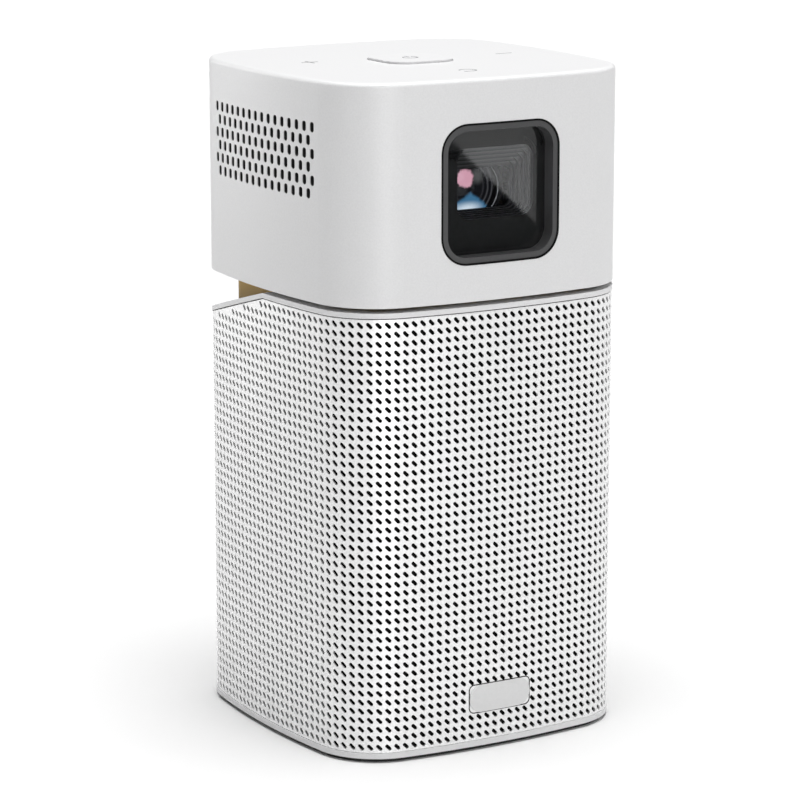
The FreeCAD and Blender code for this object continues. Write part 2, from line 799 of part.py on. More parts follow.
def gear(name, centre, teeth, bore_radius):
    """A spur gear about an axis along y; the first tooth points up."""
    body = new_body(name)
    x, y, z = centre
    pitch_radius = S.gear_module * teeth / 2
    root_radius = pitch_radius - S.tooth_dedendum
    pad(body, circle(body, name + "_root", FRONT, centre, root_radius), S.gear_width)
    tooth = new_sketch(body, name + "_tooth", FRONT, centre)
    foot, tip = root_radius - 0.3, pitch_radius + S.tooth_addendum
    middle_width = S.gear_module * math.pi / 2 - S.tooth_backlash
    slant = 2 * math.tan(math.radians(20))
    foot_width = middle_width + slant * (S.tooth_dedendum + 0.3)
    tip_width = middle_width - slant * S.tooth_addendum
    polygon(tooth, [
        (-foot_width.number / 2, foot.number), (foot_width.number / 2, foot.number),
        (tip_width.number / 2, tip.number), (-tip_width.number / 2, tip.number),
    ])
    constrain(tooth, "Symmetric", 0, 1, 1, 1, -2)
    constrain(tooth, "Symmetric", 3, 1, 2, 1, -2)
    constrain(tooth, "DistanceX", 0, 1, 1, 1, foot_width)
    constrain(tooth, "DistanceX", 3, 1, 2, 1, tip_width)
    constrain(tooth, "DistanceY", -1, 1, 0, 1, foot)
    constrain(tooth, "DistanceY", -1, 1, 2, 1, tip)
    raised = pad(body, tooth, S.gear_width)
    around = body.newObject("PartDesign::PolarPattern", name + "_teeth")
    around.Originals = [raised]
    around.Axis = (tooth, ["N_Axis"])
    around.Angle = 360
    bind(around, "Occurrences", teeth)
    body.Tip = around
    hole = circle(body, name + "_hole", FRONT, (x, y - 2 * S.gear_width, z), bore_radius)
    pocket(body, hole, 4 * S.gear_width)
    return body


def make_focus_drive():
    rear = -(S.gear_front - S.gear_width)
    ring = gear("focus_ring", (S.lens_centre, rear, S.lens_height), S.ring_teeth,
                S.mount_radius + S.running_gap)
    part(ring, "focus_ring")
    pinion = gear("pinion_wheel", (PINION_CENTRE, rear, S.lens_height), S.pinion_teeth,
                  S.motor_shaft_radius)
    shaft = cylinder(
        "pinion_shaft", (PINION_CENTRE, rear + 2.8, S.lens_height), "-y",
        S.motor_shaft_radius, S.gear_width + 2.8,
    )
    part(fuse("focus_pinion", pinion, shaft), "focus_pinion")
    motor_rear = -S.engine_front - 0.6
    can = cylinder(
        "motor_can", (PINION_CENTRE, motor_rear, S.lens_height), "-y",
        S.motor_radius, motor_rear - rear - 0.8,
    )
    shaft_hole = cylinder(
        "motor_shaft_hole", (PINION_CENTRE, rear + 3.4, S.lens_height), "-y",
        S.motor_shaft_radius + S.running_gap, S.gear_width,
    )
    bracket = block(
        "motor_bracket", (PINION_CENTRE, rear + 3.6, CHASSIS_TOP),
        (6, 3, S.lens_height - S.motor_radius - CHASSIS_TOP + 0.5),
    )
    part(cut("focus_motor", fuse("motor_stock", can, bracket), shaft_hole), "focus_motor")


def make_light_engine():
    half, wall = S.engine_half_width, S.engine_wall
    front = -S.engine_front
    outside = box("engine_outside", (-half, front, CHASSIS_TOP), (2 * half, S.engine_length, S.engine_height))
    inside = box(
        "engine_inside", (wall - half, front + wall, CHASSIS_TOP + wall),
        (2 * (half - wall), S.engine_length - 2 * wall, S.engine_height),
    )
    port = cylinder("engine_port", lens_axis(S.engine_front - wall - 1), "-y", S.barrel_bore_radius, wall + 2)
    part(cut("engine_housing", outside, inside, port), "engine_housing")
    lid = box(
        "engine_lid", (-half, front, CHASSIS_TOP + S.engine_height), (2 * half, S.engine_length, S.engine_lid)
    )
    part(lid, "engine_cover")

    inner_front, inner_right = front + wall, half - wall
    inner_back = front + S.engine_length - wall
    prism = box(
        "prism_block",
        (S.lens_centre - S.prism_side / 2, inner_front + 0.6, S.lens_height - S.prism_side / 2),
        (S.prism_side, S.prism_side, S.prism_side),
    )
    part(prism, "light_prism")
    prism_back = inner_front + 0.6 + S.prism_side
    chip = box("mirror_chip", (S.lens_centre - 6, prism_back + 0.8, S.lens_height - 4), (12, 1.8, 8))
    part(chip, "imaging_chip")
    board = box("chip_board_plate", (S.lens_centre - 10, prism_back + 2.6, S.lens_height - 6.5), (20, 1.2, 13))
    part(board, "chip_board")

    light_y = inner_front + 0.6 + S.prism_side / 2
    lenses = [
        cylinder(f"condenser_{index}", (6.8 + 2.2 * index, light_y, S.lens_height), "x", 5, 1.6)
        for index in range(2)
    ]
    part(group("condenser_lenses", *lenses), "condenser_lenses")
    filters = []
    for index in range(2):
        plate = doc.addObject("Part::Box", f"colour_filter_{index}")
        for side, length in zip(("Length", "Width", "Height"), (6, 0.8, 10)):
            bind(plate, side, length)
        plate.Placement.Rotation = FreeCAD.Rotation(V(0, 0, 1), 45)
        bind(plate, "Placement.Base.x", 12.8)
        bind(plate, "Placement.Base.y", light_y - 2.2 + 8 * index)
        bind(plate, "Placement.Base.z", S.lens_height - 5)
        filters.append(plate)
    part(group("colour_filters", *filters), "colour_filters")

    led_size = (1.4, 6.4, 8)
    low = S.lens_height - 4
    led_x = inner_right - 1.4
    part(box("red_led_module", (led_x, inner_front + 0.5, low), led_size), "red_led")
    part(box("green_led_module", (led_x, light_y + 4, low), led_size), "green_led")
    part(box("blue_led_module", (led_x - 6.4, inner_back - 1.4, low), (6.4, 1.4, 8)), "blue_led")


def make_heat_sink():
    body = new_body("heat_sink")
    inner = S.engine_half_width
    count = 7
    length = S.sink_fin_pitch * (count - 1) + S.sink_fin
    middle_y = S.engine_length / 2 - S.engine_front
    low = CHASSIS_TOP + 0.3
    high = S.engine_height - 1
    base = rounded_rectangle(
        body, "sink_base", RIGHT, (inner, middle_y, low + high / 2), length, high, 0.3
    )
    pad(body, base, 2.5)
    fin = rounded_rectangle(
        body, "sink_fin", RIGHT, (inner + 2, middle_y - length / 2 + S.sink_fin / 2, low + high / 2),
        S.sink_fin, high, 0.3,
    )
    raised = pad(body, fin, S.sink_reach)
    row = body.newObject("PartDesign::LinearPattern", "sink_fins")
    row.Originals = [raised]
    row.Direction = (fin, ["H_Axis"])
    bind(row, "Length", S.sink_fin_pitch * (count - 1))
    row.Occurrences = count
    body.Tip = row
    part(body, "heat_sink")


def make_fan():
    outer, depth, middle = -S.fan_place, S.fan_depth, FAN_MIDDLE
    half = S.fan_size / 2
    frame = box("fan_block", (outer, -half, middle - half), (depth, S.fan_size, S.fan_size))
    bore = cylinder("fan_bore", (outer - 1, 0, middle), "x", S.fan_bore_radius, depth + 2)
    hub_face = outer + depth - 2
    hub = cylinder("fan_seat", (hub_face, 0, middle), "x", S.fan_hub_radius, 2)
    spokes = [
        box("fan_spoke_across", (hub_face + 0.4, -half, middle - 1), (1.6, S.fan_size, 2)),
        box("fan_spoke_up", (hub_face + 0.4, -1, middle - half), (1.6, 2, S.fan_size)),
    ]
    bearing = cylinder(
        "fan_bearing", (hub_face - 1, 0, middle), "x", S.motor_shaft_radius + S.running_gap, 4
    )
    ring = cut("fan_ring", frame, bore)
    part(cut("fan_frame", fuse("fan_stock", ring, hub, *spokes), bearing), "fan_frame")

    rotor_face = outer + 0.6
    rotor_length = depth - 2.8
    core = cylinder("rotor_hub", (rotor_face, 0, middle), "x", S.fan_hub_radius, rotor_length)
    shaft = cylinder(
        "rotor_shaft", (rotor_face, 0, middle), "x", S.motor_shaft_radius, rotor_length + 2
    )
    blades = []
    count = 9
    reach = S.fan_bore_radius - S.blade_gap
    for index in range(count):
        turn = FreeCAD.Rotation(V(1, 0, 0), 360 * index / count)
        lean = FreeCAD.Rotation(V(0, 0, 1), 35)
        blade = doc.addObject("Part::Box", f"rotor_blade_{index}")
        bind(blade, "Length", 0.8)
        bind(blade, "Width", 6.0)
        bind(blade, "Height", reach)
        corner = V(-0.4, -3, 0)
        blade.Placement.Rotation = turn.multiply(lean)
        start = blade.Placement.Rotation.multVec(corner)
        bind(blade, "Placement.Base.x", rotor_face + rotor_length / 2 + start.x)
        bind(blade, "Placement.Base.y", start.y)
        bind(blade, "Placement.Base.z", middle + start.z)
        blades.append(blade)
    sweep = cylinder("rotor_sweep", (rotor_face, 0, middle), "x", reach, rotor_length)
    trimmed = common("trimmed_blades", fuse("raw_blades", *blades), sweep)
    part(fuse("fan_impeller", core, shaft, trimmed), "fan_impeller")


def make_boards():
    main = box("main_board_plate", (-25, -26.5, BOARD_BOTTOM), (50, 60.5, S.board_thickness))
    top = BOARD_BOTTOM + S.board_thickness
    chips = [
        box(f"board_chip_{index}", (x, y, top - 0.2), (wide, deep, 1.2))
        for index, (x, y, wide, deep) in enumerate(
            ((-8, 2, 15, 15), (-20, 6, 9, 11), (-20, 20, 9, 11), (13, 4, 8, 8), (12, -16, 9, 6))
        )
    ]
    part(fuse("main_board", main, *chips), "main_board")
    keys = new_body("key_board")
    side = 52
    board = rounded_rectangle(keys, "key_board_outline", UP, (0, 0, KEY_BOARD_BOTTOM), side, side, 6)
    pad(keys, board, 1.2)
    part(keys, "key_board")


def make_power_button():
    flange_bottom = ROOF_UNDERSIDE - 0.9
    flange_top = ROOF_UNDERSIDE - 0.15
    body = new_body("button_cap")
    cap = rounded_rectangle(
        body, "cap_outline", UP, (0, 0, flange_bottom), S.button_side, S.button_side, S.button_round
    )
    pad(body, cap, S.total_height + S.button_rise - flange_bottom)
    flange = rounded_rectangle(
        body, "cap_flange", UP, (0, 0, flange_bottom), S.button_side + 3, S.button_side + 3, S.button_round
    )
    pad(body, flange, flange_top - flange_bottom)
    stem_bottom = flange_bottom - 1.7
    pad(body, circle(body, "cap_stem", UP, (0, 0, stem_bottom), S.button_stem_radius), 1.9)
    part(body, "power_button")
    switch_bottom = KEY_BOARD_BOTTOM + 1.2
    case = block("switch_case", (0, 0, switch_bottom), (7, 7, 2.2))
    well_depth = switch_bottom + 2.2 - stem_bottom + S.button_travel + 0.1
    well = cylinder(
        "switch_well", (0, 0, switch_bottom + 2.2 - well_depth), "z",
        S.button_stem_radius + S.running_gap, well_depth + 1,
    )
    part(cut("button_switch", case, well), "button_switch")


# ---- base: skins and structure ----


def make_top_trim():
    """The bent rim that closes the base, level in front and falling behind the ridge."""
    body = new_body("top_trim")
    low = S.base_top / 2
    pad(body, outline(body, "top_trim_outline", size(0), low), S.base_top - low)
    pocket(body, bent_profile(body, "top_trim_upper", S.base_top, True), 2 * FAR, both_ways=True)
    under = bent_profile(body, "top_trim_lower", S.base_top - S.trim_band, False)
    pocket(body, under, 2 * FAR, both_ways=True)
    opening = outline(body, "top_trim_opening", S.neck_inset - S.fit_gap, low)
    pocket(body, opening, FAR, forwards=True)
    part(body, "top_trim")


def make_neck_collar():
    body = ring_body(
        "neck_collar", S.neck_inset, S.neck_inset + S.neck_wall, HINGE_PLATE_TOP, S.base_top + 2 * S.neck_rise
    )
    front = S.neck_inset - S.half_width
    cut_line = slope_profile(body, "neck_top", front, S.base_top + S.neck_rise, tan(S.tilt_angle / 2))
    pocket(body, cut_line, 2 * FAR, both_ways=True)
    part(body, "neck_collar")


def skin(name, outer_inset, inner_inset, bottom):
    """A wall under the rim, open at the back for the sockets."""
    body = ring_body(name, outer_inset, inner_inset, bottom, S.base_top)
    limit = S.base_top - S.trim_band - S.trim_groove
    pocket(body, bent_profile(body, name + "_upper", limit, True), 2 * FAR, both_ways=True)
    opening = rounded_rectangle(
        body, name + "_socket_opening", FRONT, (0, S.half_width + 1, S.io_centre_height),
        S.io_width, S.io_height, S.io_round,
    )
    pocket(body, opening, S.core_inset + 4, forwards=True)
    return body


def make_base_skins():
    grille = skin("speaker_grille", S.trim_step, GRILLE_INSIDE, BAND_TOP + S.fit_gap)
    part(grille, "speaker_grille")
    cloth_out = GRILLE_INSIDE + 0.02
    cloth = skin("grille_cloth", cloth_out, cloth_out + S.cloth_wall, FLOOR_TOP + S.fit_gap)
    part(cloth, "grille_cloth")


def make_cabinet_core():
    body = new_body("core_shell")
    pad(body, outline(body, "core_outline", S.core_inset, FLOOR_TOP), S.base_top - FLOOR_TOP)
    top = bent_profile(body, "core_upper", S.base_top - S.trim_band, True)
    pocket(body, top, 2 * FAR, both_ways=True)
    cavity = rounded_rectangle(
        body, "core_cavity", UP, (0, 0, FLOOR_TOP - 1),
        2 * CORE_CAVITY_HALF, 2 * CORE_CAVITY_HALF, S.core_cavity_round,
    )
    pocket(body, cavity, FAR, forwards=True)
    driver = circle(
        body, "driver_hole", FRONT, (0, -S.half_width - 1, S.speaker_height), S.driver_hole_radius
    )
    pocket(body, driver, S.half_width - CORE_CAVITY_HALF + 2)
    radiator = circle(
        body, "radiator_hole", RIGHT, (S.half_width + 1, 0, S.speaker_height), S.radiator_hole_radius
    )
    pocket(body, radiator, S.half_width - CORE_CAVITY_HALF + 2)
    sockets = rounded_rectangle(
        body, "socket_hole", FRONT, (0, S.half_width + 1, S.io_centre_height),
        S.io_width, S.io_height, S.io_round,
    )
    pocket(body, sockets, S.half_width - CORE_CAVITY_HALF + 2, forwards=True)
    height = HINGE_PLATE_BOTTOM - FLOOR_TOP
    posts = corner_cylinders("core_post", CORE_BOSS_PLACE, FLOOR_TOP, S.core_boss_radius, height)
    drills = corner_cylinders(
        "core_post_hole", CORE_BOSS_PLACE, FLOOR_TOP - 1, S.screw_radius + S.running_gap, height + 2
    )
    part(cut("cabinet_core", fuse("posted_core", body, *posts), *drills), "cabinet_core")


def make_bottom():
    body = new_body("floor_plate")
    pad(body, outline(body, "floor_outline", size(0), S.foot_height), S.bottom_band)
    pad(body, outline(body, "floor_step", S.core_inset, BAND_TOP), S.floor_lip)
    boss = cylinder("insert_boss", (0, 0, S.foot_height), "z", S.insert_boss_radius, S.insert_length + 1)
    pit = cylinder("insert_pit", (0, 0, S.foot_height - 1), "z", S.insert_radius, S.insert_length + 1)
    holes = corner_cylinders(
        "floor_screw_hole", CORE_BOSS_PLACE, S.foot_height - 1, S.screw_hole_radius, 5
    )
    sinks = corner_cylinders(
        "floor_screw_sink", CORE_BOSS_PLACE, S.foot_height - 1,
        S.screw_head_radius + S.fit_gap, S.screw_head_height + 1,
    )
    part(cut("bottom_cover", fuse("bossed_floor", body, boss), pit, *holes, *sinks), "bottom_cover")
    foot = ring_body("rubber_foot", S.foot_inset, S.foot_inset + S.foot_width, size(0), S.foot_height)
    part(foot, "rubber_foot")
    insert = tube(
        "threaded_insert", (0, 0, S.foot_height), "z", S.insert_radius, S.insert_bore_radius,
        S.insert_length,
    )
    part(insert, "tripod_insert")


def make_base_screws():
    """Screws up through the floor and down through the hinge frame into the corner posts."""
    screws = []
    low_heads = corner_cylinders(
        "floor_screw_head", CORE_BOSS_PLACE, S.foot_height, S.screw_head_radius, S.screw_head_height
    )
    low_shanks = corner_cylinders(
        "floor_screw_shank", CORE_BOSS_PLACE, S.foot_height + 0.5, S.screw_radius, S.screw_length
    )
    high_heads = corner_cylinders(
        "frame_screw_head", CORE_BOSS_PLACE, HINGE_PLATE_TOP - S.screw_head_height, S.screw_head_radius,
        S.screw_head_height,
    )
    high_shanks = corner_cylinders(
        "frame_screw_shank", CORE_BOSS_PLACE, HINGE_PLATE_TOP - S.screw_length, S.screw_radius,
        S.screw_length,
    )
    for index, (head, shank) in enumerate(zip(low_heads + high_heads, low_shanks + high_shanks)):
        screws.append(fuse(f"base_screw_{index}", head, shank))
    part(group("base_screws", *screws), "base_screws")


def make_hinge_frame():
    """A steel plate across the base with an ear at each side for the hinge pins."""
    body = new_body("hinge_plate")
    side = 2 * (CORE_CAVITY_HALF - S.fit_gap)
    plate = rounded_rectangle(
        body, "hinge_plate_outline", UP, (0, 0, HINGE_PLATE_BOTTOM), side, side,
        S.core_cavity_round - S.fit_gap,
    )
    pad(body, plate, S.hinge_plate)
    half = S.hinge_half_width
    blade = box(
        "ear_blade", (S.hinge_ear_place, -S.ridge_offset - half, HINGE_PLATE_TOP - 0.5),
        (S.hinge_ear, 2 * half, PIVOT_HEIGHT - HINGE_PLATE_TOP + 0.5),
    )
    eye = cylinder(
        "ear_eye", (S.hinge_ear_place, -S.ridge_offset, PIVOT_HEIGHT), "x", half, S.hinge_ear
    )
    ear = fuse("right_ear", blade, eye)
    stock = fuse("hinge_frame_stock", body, ear, mirrored("left_ear", ear))
    bore = cylinder(
        "ear_bore", (-S.half_width, -S.ridge_offset, PIVOT_HEIGHT), "x", S.pin_radius, 2 * S.half_width
    )
    holes = corner_cylinders(
        "frame_screw_hole", CORE_BOSS_PLACE, HINGE_PLATE_BOTTOM - 1, S.screw_hole_radius, 4
    )
    sinks = corner_cylinders(
        "frame_screw_sink", CORE_BOSS_PLACE, HINGE_PLATE_TOP - S.screw_head_height,
        S.screw_head_radius + S.fit_gap, S.screw_head_height + 1,
    )
    cable_hole = cylinder("frame_cable_hole", (18.2, -15, HINGE_PLATE_BOTTOM - 1), "z", 2.6, 4)
    part(cut("hinge_frame", stock, bore, cable_hole, *holes, *sinks), "hinge_frame")


def make_hinge_pins():
    inner = S.hinge_ear_place - S.hinge_arm_gap - S.hinge_ear
    outer = S.hinge_ear_place + S.hinge_ear
    centre_y, radius = -S.ridge_offset, S.pin_radius
    shank = cylinder("pin_shank", (inner - 1.6, centre_y, PIVOT_HEIGHT), "x", radius, outer - inner + 1.8)
    head = cylinder("pin_head", (outer, centre_y, PIVOT_HEIGHT), "x", 1.75 * radius, 1.2)
    clip = cylinder("pin_clip", (inner - 1.4, centre_y, PIVOT_HEIGHT), "x", 1.6 * radius, 1.2)
    right = fuse("right_hinge_pin", shank, head, clip)
    part(group("hinge_pins", right, mirrored("left_hinge_pin", right)), "hinge_pins")
    washer_start = S.hinge_ear_place - S.hinge_arm_gap + 0.05
    washer = tube(
        "right_washer", (washer_start, centre_y, PIVOT_HEIGHT), "x", 2.2 * radius,
        radius + S.running_gap, S.hinge_arm_gap - 0.1,
    )
    part(group("friction_washers", washer, mirrored("left_washer", washer)), "friction_washers")


def make_cable():
    harness = cylinder(
        "harness", (18.2, -15, HINGE_PLATE_BOTTOM - 4), "z", 1.8, BOARD_BOTTOM - HINGE_PLATE_BOTTOM + 4
    )
    part(harness, "head_cable")


# ---- base: speaker, radiator, battery and sockets ----


def front_axis(depth):
    return (0, -depth, S.speaker_height)


def make_driver():
    wall = CORE_CAVITY_HALF
    flange_front = wall - 1.05
    inner = S.driver_hole_radius - 1.4
    edge = tube(
        "driver_edge", front_axis(wall - 0.95), "-y", S.driver_flange_radius, S.cone_radius + 0.2, 0.9
    )
    part(edge, "driver_surround")
    flange = cylinder("basket_flange", front_axis(flange_front - 1.5), "-y", S.driver_flange_radius, 1.5)
    can = cylinder("basket_can", front_axis(flange_front - 16), "-y", S.driver_hole_radius, 16)
    hollow = cylinder("basket_hollow", front_axis(flange_front - 14.5), "-y", inner, 16)
    hole = cylinder("basket_hole", front_axis(flange_front - 17), "-y", S.coil_radius + 0.6, 5)
    windows = [
        box("basket_window_across", (-30, 3.5 - flange_front, S.speaker_height - 7), (60, 9, 14)),
        box("basket_window_up", (-7, 3.5 - flange_front, S.speaker_height - 30), (14, 9, 60)),
    ]
    basket = cut("driver_basket", fuse("basket_stock", flange, can), hollow, hole, *windows)
    part(basket, "driver_basket")
    magnet_front = flange_front - 16
    slug = cylinder(
        "magnet_stock", front_axis(magnet_front - S.magnet_length), "-y", S.magnet_radius, S.magnet_length
    )
    gap = tube(
        "magnet_gap", front_axis(magnet_front - 5), "-y", S.coil_radius + 0.3, S.coil_radius - 0.9, 6
    )
    part(cut("driver_magnet", slug, gap), "driver_magnet")

    cone_front = wall - 0.3
    paper = cone(
        "cone_paper", front_axis(cone_front - 8), "-y", S.coil_radius, S.cone_radius, 8
    )
    hollow_cone = cone(
        "cone_hollow", front_axis(cone_front - 7.4), "-y", S.coil_radius, S.cone_radius - 0.2, 8
    )
    former = tube(
        "coil_former", front_axis(magnet_front - 3.6), "-y", S.coil_radius, S.coil_radius - 0.6,
        cone_front - 7.7 - magnet_front + 3.6,
    )
    cap = cylinder("dust_cap", front_axis(cone_front - 8), "-y", S.coil_radius, 1.6)
    part(fuse("driver_cone", cut("cone_shell", paper, hollow_cone), former, cap), "driver_cone")


def make_radiator():
    wall = CORE_CAVITY_HALF
    edge = tube(
        "radiator_edge", (wall - 0.95, 0, S.speaker_height), "x",
        S.radiator_flange_radius, S.radiator_radius + 0.2, 0.9,
    )
    part(edge, "radiator_surround")
    plate = cylinder("radiator_disc", (wall - 1.3, 0, S.speaker_height), "x", S.radiator_radius, 1.6)
    part(plate, "radiator_plate")


def make_battery():
    half = S.cell_pitch / 2
    cells = [
        cylinder(f"cell_{index}", (right * half, BATTERY_MIDDLE + back * half, S.cell_bottom), "z",
                 S.cell_radius, S.cell_length)
        for index, (right, back) in enumerate(((1, 1), (-1, 1), (-1, -1), (1, -1)))
    ]
    part(group("battery_cells", *cells), "battery_cells")
    tray = new_body("tray")
    plate = rounded_rectangle(
        tray, "tray_outline", UP, (0, BATTERY_MIDDLE, S.cell_bottom - S.tray_thickness),
        2 * (CORE_CAVITY_HALF - S.fit_gap), 2 * S.cell_pitch + 1, S.core_cavity_round,
    )
    pad(tray, plate, S.tray_thickness)
    notches = corner_cylinders(
        "tray_notch", CORE_BOSS_PLACE, S.cell_bottom - S.tray_thickness - 1,
        S.core_boss_radius + S.fit_gap, S.tray_thickness + 2,
    )
    part(cut("battery_tray", tray, *notches), "battery_tray")


def flat_socket(name, x, width, tongue_width, tongue_thickness):
    """A sheet-metal socket with a contact tongue, open at the back of the base."""
    low = S.io_board_height + S.board_thickness
    rear = S.io_face - S.flat_socket_depth
    wall = S.socket_wall
    shell = box(name + "_shell", (x - width / 2, rear, low), (width, S.flat_socket_depth, S.flat_socket_height))
    mouth = box(
        name + "_mouth", (x - width / 2 + wall, rear + 2, low + wall),
        (width - 2 * wall, S.flat_socket_depth, S.flat_socket_height - 2 * wall),
    )
    tongue = box(
        name + "_tongue",
        (x - tongue_width / 2, rear + 1, low + (S.flat_socket_height - tongue_thickness) / 2),
        (tongue_width, S.flat_socket_depth - 2.5, tongue_thickness),
    )
    return fuse(name, cut(name + "_can", shell, mouth), tongue)


HDMI_PLACE = 13.7
USB_PLACE = -2.8
DC_PLACE = -16.5


def make_sockets():
    low = S.io_board_height + S.board_thickness
    board = box("socket_board", (-25.5, -26, S.io_board_height), (51, 60.5, S.board_thickness))
    part(board, "io_board")
    part(flat_socket("hdmi_can", HDMI_PLACE, S.hdmi_width, 11.0, 1.0), "hdmi_port")
    part(flat_socket("usb_can", USB_PLACE, S.usb_width, 10.6, 1.8), "usb_port")
    rear = S.io_face - S.flat_socket_depth
    middle = low + S.dc_height / 2
    case = box("dc_case", (DC_PLACE - S.dc_width / 2, rear, low), (S.dc_width, S.flat_socket_depth, S.dc_height))
    bore = cylinder("dc_bore", (DC_PLACE, S.io_face + 1, middle), "-y", S.dc_bore_radius, S.flat_socket_depth - 1)
    pin = cylinder("dc_pin", (DC_PLACE, S.io_face - 1, middle), "-y", S.dc_pin_radius, S.flat_socket_depth - 2)
    part(fuse("dc_socket", cut("dc_body", case, bore), pin), "dc_jack")

    panel = new_body("io_panel")
    gap = S.fit_gap
    face = rounded_rectangle(
        panel, "panel_outline", FRONT, (0, S.io_face, S.io_centre_height),
        S.io_width - 2 * gap, S.io_height - 2 * gap, S.io_round - gap,
    )
    pad(panel, face, S.io_face - CORE_CAVITY_HALF)
    openings = (
        ("hdmi", HDMI_PLACE, S.hdmi_width, S.flat_socket_height),
        ("usb", USB_PLACE, S.usb_width, S.flat_socket_height),
        ("dc", DC_PLACE, S.dc_width, S.dc_height),
    )
    for name, x, width, height in openings:
        hole = rounded_rectangle(
            panel, name + "_panel_hole", FRONT, (x, S.io_face + 1, low + height / 2),
            width + 2 * gap, height + 2 * gap, 0.3,
        )
        pocket(panel, hole, FAR, forwards=True)
    part(panel, "io_panel")


def make_badge():
    """A blank plate low on the front that follows the grille's bow."""
    body = new_body("badge_block")
    face = rounded_rectangle(
        body, "badge_outline", FRONT, (S.badge_centre, -S.half_width / 2, S.badge_centre_height),
        S.badge_width, S.badge_height, S.badge_height / 2 - 0.2,
    )
    pad(body, face, S.half_width)
    layer = ring_body(
        "badge_layer", S.trim_step - S.badge_rise, S.trim_step, S.foot_height, S.base_top / 2
    )
    part(common("badge", body, layer), "badge")


def check_and_export():
    """Stops on any failed object, empty cut or bad solid, then writes one file for each sub-part."""
    doc.recompute()
    failed = [item.Name for item in doc.Objects if {"Invalid", "Error"} & set(item.State)]
    if failed:
        raise SystemExit(f"failed objects: {failed}")
    for before, after in CUTS:
        if after.Shape.Volume > before.Shape.Volume - 1e-6:
            raise SystemExit(f"{after.Name} cuts nothing")
    for item in PARTS:
        shape = item.Shape
        if shape.isNull() or not shape.isValid() or not shape.Solids:
            raise SystemExit(f"{item.Label} is not a valid solid")
    os.makedirs("parts", exist_ok=True)
    for item in PARTS:
        item.Shape.exportStep(os.path.join("parts", item.Label + ".step"))
    print(len(PARTS), "sub-parts,", sum(len(item.Shape.Solids) for item in PARTS), "solids")


make_head_shell()
make_head_bottom_ring()
make_lens_bezel()
make_lens_window()
make_lens_baffle()
make_head_chassis()
make_hinge_arms()
make_head_screws()
make_vent_meshes()
make_lens_mount()
make_lens_barrel()
make_focus_drive()
make_light_engine()
make_heat_sink()
make_fan()
make_boards()
make_power_button()
make_top_trim()
make_neck_collar()
make_base_skins()
make_cabinet_core()
make_bottom()
make_base_screws()
make_hinge_frame()
make_hinge_pins()
make_cable()
make_driver()
make_radiator()
make_battery()
make_sockets()
make_badge()
check_and_export()
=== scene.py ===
import math

import bmesh
import bpy
from mathutils import Matrix, Vector


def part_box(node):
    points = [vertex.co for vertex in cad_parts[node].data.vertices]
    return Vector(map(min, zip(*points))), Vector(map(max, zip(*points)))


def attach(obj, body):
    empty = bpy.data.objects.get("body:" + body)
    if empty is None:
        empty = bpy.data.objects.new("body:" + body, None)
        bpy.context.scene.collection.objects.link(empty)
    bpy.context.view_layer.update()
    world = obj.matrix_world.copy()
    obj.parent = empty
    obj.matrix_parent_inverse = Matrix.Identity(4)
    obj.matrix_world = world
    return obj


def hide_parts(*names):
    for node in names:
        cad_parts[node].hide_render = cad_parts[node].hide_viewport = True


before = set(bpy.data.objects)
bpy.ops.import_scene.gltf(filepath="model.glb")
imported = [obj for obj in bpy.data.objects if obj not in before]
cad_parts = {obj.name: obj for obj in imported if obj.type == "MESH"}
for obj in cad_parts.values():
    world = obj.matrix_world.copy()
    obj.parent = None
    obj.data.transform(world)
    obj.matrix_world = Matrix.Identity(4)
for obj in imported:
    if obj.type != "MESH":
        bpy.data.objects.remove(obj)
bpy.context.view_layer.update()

MM = 0.001

# Sizes of the part that its boxes don't give.
BOW = 197 * MM
CORNER = 16 * MM
BAFFLE_STEP_DEPTH = 1.2 * MM
BAFFLE_STEP_DROP = 1.1 * MM
BAFFLE_TOP = 138.8 * MM
BAFFLE_CENTRE = 1.4 * MM
TILT = math.radians(15)
RIDGE_Y = -1 * MM
BAFFLE_STEPS = 5
LIP_RADIUS = 6.75 * MM

rim_low, rim_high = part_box("top_trim")
HALF = rim_high.x
BASE_TOP = rim_high.z
grille_low, grille_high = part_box("speaker_grille")
GRILLE_FACE = HALF - grille_high.x
GRILLE_TOP = grille_high.z
GRILLE_BOTTOM = grille_low.z
head_low, head_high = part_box("head_shell")
HEAD_TOP = head_high.z


# ---- materials ----


def node_material(name):
    material = bpy.data.materials.new(name)
    material.use_nodes = True
    nodes, links = material.node_tree.nodes, material.node_tree.links
    return material, nodes, links, nodes["Principled BSDF"]


def noise_of(nodes, links, scale, detail=2.0, stretch=(1, 1, 1)):
    place = nodes.new("ShaderNodeTexCoord")
    mapping = nodes.new("ShaderNodeMapping")
    mapping.inputs["Scale"].default_value = stretch
    noise = nodes.new("ShaderNodeTexNoise")
    noise.inputs["Scale"].default_value = scale
    noise.inputs["Detail"].default_value = detail
    links.new(place.outputs["Object"], mapping.inputs["Vector"])
    links.new(mapping.outputs["Vector"], noise.inputs["Vector"])
    return noise


def spread_value(nodes, links, source, low, high, target):
    ranged = nodes.new("ShaderNodeMapRange")
    ranged.inputs["From Min"].default_value = 0.3
    ranged.inputs["From Max"].default_value = 0.7
    ranged.inputs["To Min"].default_value = low
    ranged.inputs["To Max"].default_value = high
    links.new(source, ranged.inputs["Value"])
    links.new(ranged.outputs["Result"], target)


def spread_colour(nodes, links, source, colour, spread, target):
    ramp = nodes.new("ShaderNodeValToRGB")
    ramp.color_ramp.elements[0].position = 0.3
    ramp.color_ramp.elements[1].position = 0.7
    for element, factor in zip(ramp.color_ramp.elements, (1 - spread, 1 + spread)):
        element.color = (*(min(1, channel * factor) for channel in colour), 1)
    links.new(source, ramp.inputs["Fac"])
    links.new(ramp.outputs["Color"], target)


